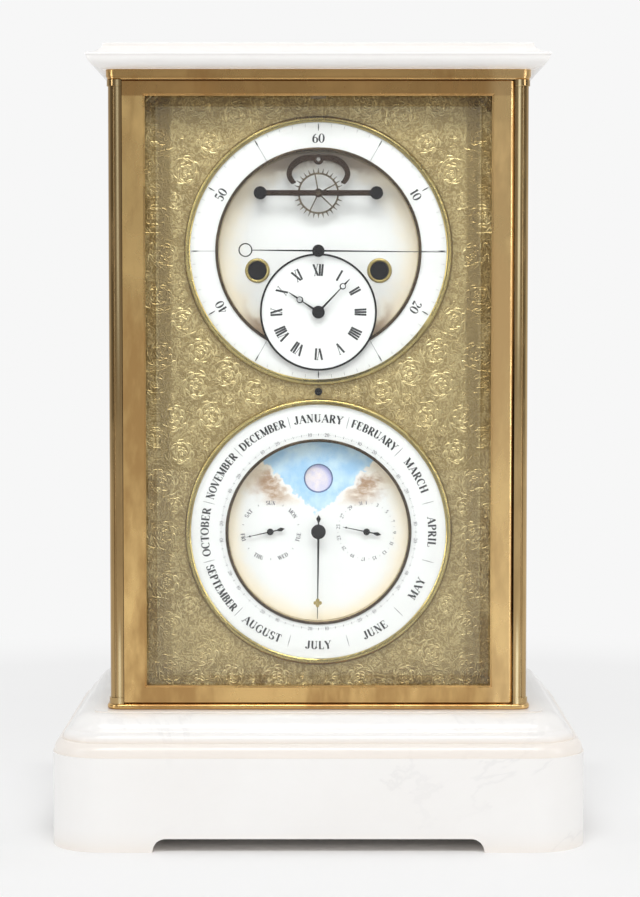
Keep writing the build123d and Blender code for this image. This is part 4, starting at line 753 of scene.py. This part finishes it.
letters = {
    "A": (0.80, "hair .06 0 .39 1|slope .39 1 .72 0|hair .17 .34 .60 .34|foot .06 0|foot .72 0"),
    "B": (0.70, "stem .16 0 1|bowl .30 .76 .22 .24 -90 90|bowl .32 .26 .27 .26 -90 90|hair .06 1 .30 1"
                "|hair .06 0 .32 0|hair .16 .52 .32 .52"),
    "C": (0.74, "bowl .42 .5 .33 .5 48 312|hair .65 .66 .65 .94"),
    "D": (0.80, "stem .16 0 1|bowl .34 .5 .36 .5 -90 90|hair .06 1 .34 1|hair .06 0 .34 0"),
    "E": (0.68, "stem .16 0 1|hair .06 1 .58 1|hair .06 0 .60 0|hair .16 .52 .44 .52"
                "|hair .58 1 .58 .78|hair .60 0 .60 .24|hair .44 .42 .44 .62"),
    "F": (0.64, "stem .16 0 1|foot .16 0|hair .06 1 .58 1|hair .16 .52 .44 .52|hair .58 1 .58 .78"
                "|hair .44 .42 .44 .62"),
    "G": (0.80, "bowl .42 .5 .33 .5 48 320|stem .66 .06 .42|foot .66 .42|hair .65 .68 .65 .94"),
    "H": (0.84, "stem .16 0 1|stem .66 0 1|foot .16 0|foot .16 1|foot .66 0|foot .66 1"
                "|hair .16 .52 .66 .52"),
    "I": (0.36, "stem .18 0 1|foot .18 0|foot .18 1"),
    "J": (0.52, "stem .34 .22 1|foot .34 1|bowl .19 .22 .15 .22 180 360"),
    "L": (0.64, "stem .16 0 1|foot .16 1|hair .06 0 .58 0|hair .58 0 .58 .25"),
    "M": (0.96, "hair .14 0 .14 1|slope .14 1 .46 .04|hair .46 .04 .78 1|stem .80 0 1|foot .14 0"
                "|foot .80 0|foot .10 1|foot .84 1"),
    "N": (0.80, "hair .14 0 .14 1|slope .14 1 .64 0|hair .64 0 .64 1|foot .14 0|foot .12 1|foot .64 1"),
    "O": (0.80, "bowl .40 .5 .34 .5 0 360"),
    "P": (0.68, "stem .16 0 1|foot .16 0|bowl .30 .74 .27 .26 -90 90|hair .06 1 .30 1"
                "|hair .16 .48 .30 .48"),
    "R": (0.74, "stem .16 0 1|foot .16 0|bowl .30 .75 .25 .25 -90 90|hair .06 1 .30 1"
                "|hair .16 .5 .34 .5|slope .36 .5 .64 0|foot .66 0"),
    "S": (0.62, "bowl .31 .75 .20 .25 30 270|bowl .31 .25 .23 .25 90 -150|hair .50 .74 .50 .96"
                "|hair .08 .04 .08 .28"),
    "T": (0.70, "stem .35 0 1|foot .35 0|hair .04 1 .66 1|hair .04 1 .04 .78|hair .66 1 .66 .78"),
    "U": (0.80, "stem .16 .3 1|bowl .39 .3 .23 .3 180 360|hair .62 .3 .62 1|foot .16 1|foot .62 1"),
    "V": (0.76, "slope .08 1 .38 0|hair .38 0 .68 1|foot .08 1|foot .68 1"),
    "W": (1.04, "slope .08 1 .32 0|hair .32 0 .52 1|slope .50 1 .74 0|hair .74 0 .96 1|foot .08 1"
                "|foot .96 1"),
    "X": (0.78, "slope .10 1 .66 0|hair .12 0 .64 1|foot .10 1|foot .66 0|foot .12 0|foot .64 1"),
    "Y": (0.74, "slope .08 1 .37 .46|hair .37 .46 .66 1|stem .37 0 .46|foot .37 0|foot .08 1"
                "|foot .66 1"),
    "0": (0.66, "bowl .33 .5 .26 .5 0 360"),
    "1": (0.46, "stem .26 0 1|foot .26 0|hair .08 .84 .26 1"),
    "2": (0.62, "bowl .29 .72 .21 .28 170 -30|hair .48 .58 .06 .04|slope .06 .06 .56 .05"),
    "3": (0.62, "bowl .28 .76 .21 .24 150 -90|bowl .29 .27 .24 .27 90 -150"),
    "4": (0.66, "hair .44 1 .04 .28|hair .04 .28 .62 .28|stem .44 0 1|foot .44 0"),
    "5": (0.62, "slope .16 .97 .54 .98|hair .14 1 .14 .56|bowl .29 .31 .24 .31 130 -150"),
    "6": (0.64, "bowl .32 .30 .24 .30 0 360|bowl .54 .36 .46 .62 100 190"),
    "7": (0.60, "slope .06 .96 .56 .97|hair .56 .97 .24 0|hair .06 1 .06 .78"),
    "8": (0.64, "bowl .32 .76 .20 .24 0 360|bowl .32 .27 .25 .27 0 360"),
    "9": (0.64, "bowl .32 .70 .24 .30 0 360|bowl .10 .64 .46 .62 -80 10"),
}
pen = {"thick": 0.17, "thin": 0.05, "foot": 0.24}


def bowlPoints(cx, cz, rx, rz, start, stop):
    steps = max(4, int(abs(stop - start) / 20))
    points, weights = [], []
    for i in range(steps + 1):
        t = math.radians(start + (stop - start) * i / steps)
        points.append((cx + rx * math.cos(t), cz + rz * math.sin(t)))
        weights.append(pen["thin"] + (pen["thick"] - pen["thin"]) * abs(math.cos(t)) ** 1.6)
    return points, weights


def strokesOf(text, spacing=0.08):
    # every stroke of a word as points and widths, with the word centred across zero
    strokes, across = [], 0.0
    for sign in text:
        advance, recipe = letters[sign]
        for stroke in recipe.split("|"):
            kind, *numbers = stroke.split()
            n = [float(v) for v in numbers]
            if kind == "bowl":
                points, widths = bowlPoints(*n)
            elif kind == "stem":
                points, widths = [(n[0], n[1]), (n[0], n[2])], [pen["thick"]] * 2
            elif kind == "foot":
                half = pen["foot"] / 2
                points, widths = [(n[0] - half, n[1]), (n[0] + half, n[1])], [pen["thin"]] * 2
            else:
                weight = pen["thick"] if kind == "slope" else pen["thin"]
                points, widths = [(n[0], n[1]), (n[2], n[3])], [weight] * 2
            strokes.append(([(x + across, z) for x, z in points], widths))
        across += advance + spacing
    middle = (across - spacing) / 2
    return [([(x - middle, z) for x, z in points], widths) for points, widths in strokes]


def widthOf(text, spacing=0.08):
    return sum(letters[sign][0] + spacing for sign in text) - spacing


def letterRound(drawing, text, clock, radius, height, flip=False, weight=1.0, squeeze=1.0,
                spacing=0.08):
    # sets a word along a circle; clock is its direction in degrees from twelve, radius its middle
    turn = -1 if flip else 1
    for points, widths in strokesOf(text, spacing):
        bent = []
        for x, z in points:
            r = radius + turn * (z - 0.5) * height
            angle = math.radians(clock) + turn * x * height * squeeze / radius
            bent.append((r * math.sin(angle), r * math.cos(angle)))
        drawing.strip(bent, [w * height * weight for w in widths])


def radialMark(drawing, clock, inner, outer, widths):
    s, c = math.sin(math.radians(clock)), math.cos(math.radians(clock))
    steps = len(widths) - 1
    radii = [inner + (outer - inner) * i / steps for i in range(steps + 1)]
    drawing.strip([(r * s, r * c) for r in radii], widths)


def frontOf(name):
    low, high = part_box(name)
    centre = ((low[0] + high[0]) / 2 / mm, (low[2] + high[2]) / 2 / mm)
    return centre, low[1] / mm


def lowerHalf(clock):
    # words there stand upright, with their feet toward the edge
    return 100 < clock < 260


inkDepth = 0.03     # how far the fired ink stands up, in mm


def inkPair(name):
    return Drawing(*frontOf(name), inkDepth), Drawing(*frontOf(name), inkDepth)


# seconds ring: sixty fine marks, longer ones each five, numerals each ten

secondsDial = {"outer": 63.9, "fine": 1.6, "mark": 3.6, "line": 51.6, "numeral": 56.6, "height": 4.4}


def drawSeconds():
    black, grey = inkPair("seconds_ring")
    outer = secondsDial["outer"]
    inner = outer - secondsDial["mark"]
    for second in range(60):
        clock = second * 6
        if second % 5:
            radialMark(grey, clock, outer - secondsDial["fine"], outer, [0.14, 0.14])
            continue
        radialMark(black, clock, inner, outer, [0.25, 0.62, 0.3])
        if second % 10:
            radialMark(grey, clock, secondsDial["line"], inner, [0.2, 0.2])
        elif second != 30:
            letterRound(black, str(second or 60), clock, secondsDial["numeral"], secondsDial["height"],
                        weight=1.25)
    black.make("seconds_numerals", "ink", "case")
    grey.make("seconds_track", "paleInk", "case")


# hours dial: roman numerals that stand radially

hoursDial = {"numeral": 21.2, "height": 5.7, "squeeze": 0.60, "weight": 1.05,
             "names": ["XII", "I", "II", "III", "IIII", "V", "VI", "VII", "VIII", "IX", "X", "XI"]}


def drawHours():
    black = Drawing(*frontOf("hours_dial"), inkDepth)
    for i, name in enumerate(hoursDial["names"]):
        letterRound(black, name, i * 30, hoursDial["numeral"], hoursDial["height"],
                    weight=hoursDial["weight"], squeeze=hoursDial["squeeze"], spacing=0.0)
    black.make("hours_numerals", "ink", "case")


# month ring: twelve names with dividers, and the tens of days inside them

monthDial = {"name": 57.7, "height": 3.9, "divider": (54.4, 60.4), "days": 49.4, "dayHeight": 1.7,
             "widest": 26.0, "weight": 1.45,
             "names": ["JANUARY", "FEBRUARY", "MARCH", "APRIL", "MAY", "JUNE", "JULY", "AUGUST",
                       "SEPTEMBER", "OCTOBER", "NOVEMBER", "DECEMBER"]}


def drawMonths():
    black, grey = inkPair("month_ring")
    height, days = monthDial["height"], monthDial["days"]
    for i, name in enumerate(monthDial["names"]):
        clock = i * 30
        flip = lowerHalf(clock)
        squeeze = min(1.12, monthDial["widest"] / (widthOf(name) * height))
        letterRound(black, name, clock, monthDial["name"], height, flip, monthDial["weight"], squeeze)
        radialMark(grey, clock + 15, *monthDial["divider"], [0.16, 0.3, 0.16])
        for day in range(1, 31):
            place = clock - 15 + day
            if day % 10 == 0 and day < 30:
                letterRound(grey, str(day), place, days, monthDial["dayHeight"], flip)
            elif day % 5 == 0:
                radialMark(grey, place, days - 0.6, days + 0.6, [0.15, 0.3, 0.15])
            else:
                radialMark(grey, place, days - 0.12, days + 0.12, [0.2, 0.2])
    black.make("month_names", "ink", "case")
    grey.make("month_track", "paleInk", "case")


# the two small dials painted on the calendar's centre: days of the week, days of the month

smallDials = {"weekdayX": -24.3, "dateX": 24.3, "radius": 14.4, "height": 2.0,
              "weekdays": ["SUN", "MON", "TUE", "WED", "THU", "FRI", "SAT"]}


def drawSmallDials():
    centre, face = frontOf("calendar_centre_dial")
    radius, height = smallDials["radius"], smallDials["height"]
    weekdays = Drawing((centre[0] + smallDials["weekdayX"], centre[1]), face, inkDepth)
    for i, name in enumerate(smallDials["weekdays"]):
        clock = i * 360 / 7
        letterRound(weekdays, name, clock, radius, height, lowerHalf(clock), 1.5)
        radialMark(weekdays, clock + 180 / 7, radius - 0.5, radius + 0.5, [0.15, 0.35, 0.15])
    weekdays.make("weekday_names", "paleInk", "case")
    dates = Drawing((centre[0] + smallDials["dateX"], centre[1]), face, inkDepth)
    for day in range(1, 32):
        clock = (day - 1) * 360 / 31
        if day % 2:
            letterRound(dates, str(day), clock, radius, height * 0.85, weight=1.4)
        else:
            radialMark(dates, clock, radius - 0.15, radius + 0.15, [0.3, 0.3])
    dates.make("date_numerals", "paleInk", "case")


# the mask's scrolls: spirals that spring from each other, each in a circle of the free ground

scrolls = {"seed": 7, "largest": 8.0, "smallest": 1.2, "tries": 240, "turns": 1.75, "stem": 0.6,
           "leaf": 1.25, "leafReach": 0.30, "rise": 0.2, "sink": 0.01, "edge": 1.2, "border": 4.0,
           "middleGap": 0.4, "bezel": 69.0, "screw": (0.0, 226.4), "screwRoom": 2.6}


def freeRadius(x, z, placed, low, high, dials):
    room = min(x - scrolls["middleGap"], high[0] - x, z - low[1], high[1] - z, scrolls["largest"])
    for cx, cz, radius in dials:
        room = min(room, math.hypot(x - cx, z - cz) - radius)
    for circle in placed:
        room = min(room, math.hypot(x - circle["x"], z - circle["z"]) - circle["r"])
    return room


def packCircles(low, high, dials):
    chance = random.Random(scrolls["seed"])
    placed = []
    while True:
        best = None
        for _ in range(scrolls["tries"]):
            x, z = chance.uniform(0.5, high[0]), chance.uniform(low[1], high[1])
            room = freeRadius(x, z, placed, low, high, dials)
            if room > 0 and (best is None or room > best[0]):
                best = (room, x, z)
        if best is None or best[0] < scrolls["smallest"]:
            return placed
        radius, x, z = best
        parent = min(placed, default=None,
                     key=lambda other: math.hypot(x - other["x"], z - other["z"]) - other["r"])
        start = math.atan2(parent["z"] - z, parent["x"] - x) if parent else math.pi / 2
        hand = -parent["hand"] if parent else 1
        placed.append({"x": x, "z": z, "r": radius, "start": start, "hand": hand})


def drawScroll(drawing, circle, mirror):
    def at(angle, distance):
        x = circle["x"] + distance * math.cos(angle)
        return mirror * x, circle["z"] + distance * math.sin(angle)

    def inward(t):
        return radius * (0.96 - 0.80 * t ** 0.85)

    radius, hand, start = circle["r"], circle["hand"], circle["start"]
    steps = 12 + int(radius * 1.6)
    turn = 2 * math.pi * scrolls["turns"] * hand
    stem, widths = [], []
    for i in range(steps + 1):
        t = i / steps
        stem.append(at(start + turn * t, inward(t)))
        widths.append(scrolls["stem"] * min(1.0, radius / 7) * (1.0 - 0.55 * t))
    drawing.ridge(stem, widths, scrolls["rise"])
    # leaves grow outward along the stem and lean back from its direction
    leaves = max(4, int(radius * 1.5))
    for k in range(leaves):
        t = (k + 0.6) / leaves * 0.9
        angle = start + turn * t
        reach = radius * scrolls["leafReach"] * (1.0 - 0.5 * t)
        for side in (1, -1):
            points, spread = [], []
            for j in range(5):
                u = j / 4
                swing = hand * (0.20 + 0.30 * u) * u * (1.0 + 0.8 * t)
                out = side * reach * u * (1.0 - 0.35 * u)
                points.append(at(angle + swing, max(0.15, inward(t) + out)))
                swell = math.sin(math.pi * min(0.98, 0.14 + 0.84 * u))
                spread.append(scrolls["leaf"] * min(1.0, radius / 8) * swell)
            drawing.ridge(points, spread, scrolls["rise"])
    bud = radius * 0.15
    for k in range(5):
        angle = start + k * 2 * math.pi / 5
        drawing.ridge([at(angle, 0.05), at(angle, bud * 0.6), at(angle, bud * 1.2)],
                      [0.1, bud * 0.8, 0.1], scrolls["rise"])


def drawMaskScrolls():
    low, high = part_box("mask_plate")
    edge = scrolls["edge"]
    lowest = (0.0, low[2] / mm + edge)
    highest = (high[0] / mm - edge - scrolls["border"], high[2] / mm - edge)
    dials = [(*frontOf(name)[0], scrolls["bezel"]) for name in ("seconds_ring", "month_ring")]
    dials.append((*scrolls["screw"], scrolls["screwRoom"]))
    drawing = Drawing((0, 0), low[1] / mm + scrolls["sink"], scrolls["sink"])
    circles = packCircles(lowest, highest, dials)
    for circle in circles:
        for mirror in (1, -1):
            drawScroll(drawing, circle, mirror)
    drawing.make("mask_scrolls", "giltCut", "case", "mask_brass")
    print("mask scrolls:", 2 * len(circles), "spirals,", len(drawing.faces), "faces")


drawMaskScrolls()
drawSeconds()
drawHours()
drawMonths()
drawSmallDials()
print("dials lettered")


# stage, lamps and camera

stageLook = {"floor": (0.94, 0.94, 0.94), "backdrop": 0.93, "size": 6.0, "glow": 0.7,
             "aimAt": (0, 0, 0.22)}


def makeFloor():
    half = stageLook["size"] / 2
    mesh = bpy.data.meshes.new("floor")
    corners = [(-half, -half, 0), (half, -half, 0), (half, half, 0), (-half, half, 0)]
    mesh.from_pydata(corners, [], [(0, 1, 2, 3)])
    floor = addObject("floor", mesh)
    material, tree, shader = newMaterial(
        "paleFloor", {"Base Color": stageLook["floor"], "Roughness": 0.9})
    place = objectPlace(tree)
    away = addNode(tree, "ShaderNodeVectorMath", {0: place}, operation="LENGTH").outputs[1]
    # the floor glows a little, but not under the plinth, where its shadow stays
    parts = axes(tree, place)
    wide, deep = cadBox[1][:2]
    outside = most(tree, calc(tree, "SUBTRACT", calc(tree, "ABSOLUTE", parts["X"]), wide),
                   calc(tree, "SUBTRACT", calc(tree, "ABSOLUTE", parts["Y"]), deep))
    near = remap(tree, outside, -0.004, 0.05, 0.0, stageLook["glow"])
    far = most(tree, remap(tree, away, 0.28, 0.75), near)
    path = tree.nodes.new("ShaderNodeLightPath").outputs
    seen = most(tree, path["Is Camera Ray"], path["Is Glossy Ray"], path["Is Transmission Ray"])
    level = stageLook["backdrop"]
    glow = addNode(tree, "ShaderNodeEmission", {"Color": (level, level, level), "Strength": 1.0})
    mixInto(tree, times(tree, far, seen), shader, glow)
    mesh.materials.append(material)


def makeWorld():
    world = bpy.data.worlds.new("studio")
    world.use_nodes = True
    bpy.context.scene.world = world
    tree = world.node_tree
    tree.nodes.clear()
    path = tree.nodes.new("ShaderNodeLightPath").outputs
    seen = most(tree, path["Is Camera Ray"], path["Is Transmission Ray"])
    direction = tree.nodes.new("ShaderNodeTexCoord").outputs["Generated"]
    parts = axes(tree, direction)
    # the front of the room is dimmer than the sides, which gives round metal its stripes
    front = remap(tree, parts["Y"], -1.0, -0.55, 0.42, 0.16)
    behind = remap(tree, parts["Y"], -0.2, 0.5, 0.0, 0.58)
    room = calc(tree, "ADD", front, behind)
    room = calc(tree, "ADD", room, remap(tree, parts["Z"], 0.2, 0.9, 0.0, 0.15))
    level = addNode(tree, "ShaderNodeMix", {0: seen, 2: room, 3: stageLook["backdrop"]}).outputs[0]
    glow = addNode(tree, "ShaderNodeBackground", {"Color": (1, 1, 1, 1), "Strength": level})
    addNode(tree, "ShaderNodeOutputWorld", {"Surface": glow.outputs[0]})


lamps = {
    "leftBox": {"at": (-1.6, -0.9, 0.7), "size": (0.35, 1.5), "power": 6.6},
    "rightBox": {"at": (1.6, -0.9, 0.7), "size": (0.35, 1.5), "power": 7.4},
    "topBox": {"at": (0.0, -1.1, 1.6), "size": (1.3, 0.5), "power": 15.0},
}


def makeLamps():
    target = Vector(stageLook["aimAt"])
    for name, lamp in lamps.items():
        light = bpy.data.lights.new(name, "AREA")
        light.shape = "RECTANGLE"
        light.size, light.size_y = lamp["size"]
        light.energy = lamp["power"]
        holder = addObject(name, light)
        holder.location = lamp["at"]
        holder.rotation_euler = (target - Vector(lamp["at"])).to_track_quat("-Z", "Y").to_euler()


viewpoint = {"away": 1.2, "height": 0.264, "pitch": 3.13, "side": 0.0008, "lens": 96.3}


def makeCamera():
    data = bpy.data.cameras.new("camera")
    data.lens = viewpoint["lens"]
    data.sensor_width = 36
    data.clip_end = 20
    camera = addObject("camera", data)
    camera.location = (viewpoint["side"], -74 * mm - viewpoint["away"], viewpoint["height"])
    camera.rotation_euler = (math.radians(90 - viewpoint["pitch"]), 0, 0)
    bpy.context.scene.camera = camera


makeFloor()
makeWorld()
makeLamps()
makeCamera()
bpy.context.scene.view_settings.view_transform = "Standard"
print("stage set")
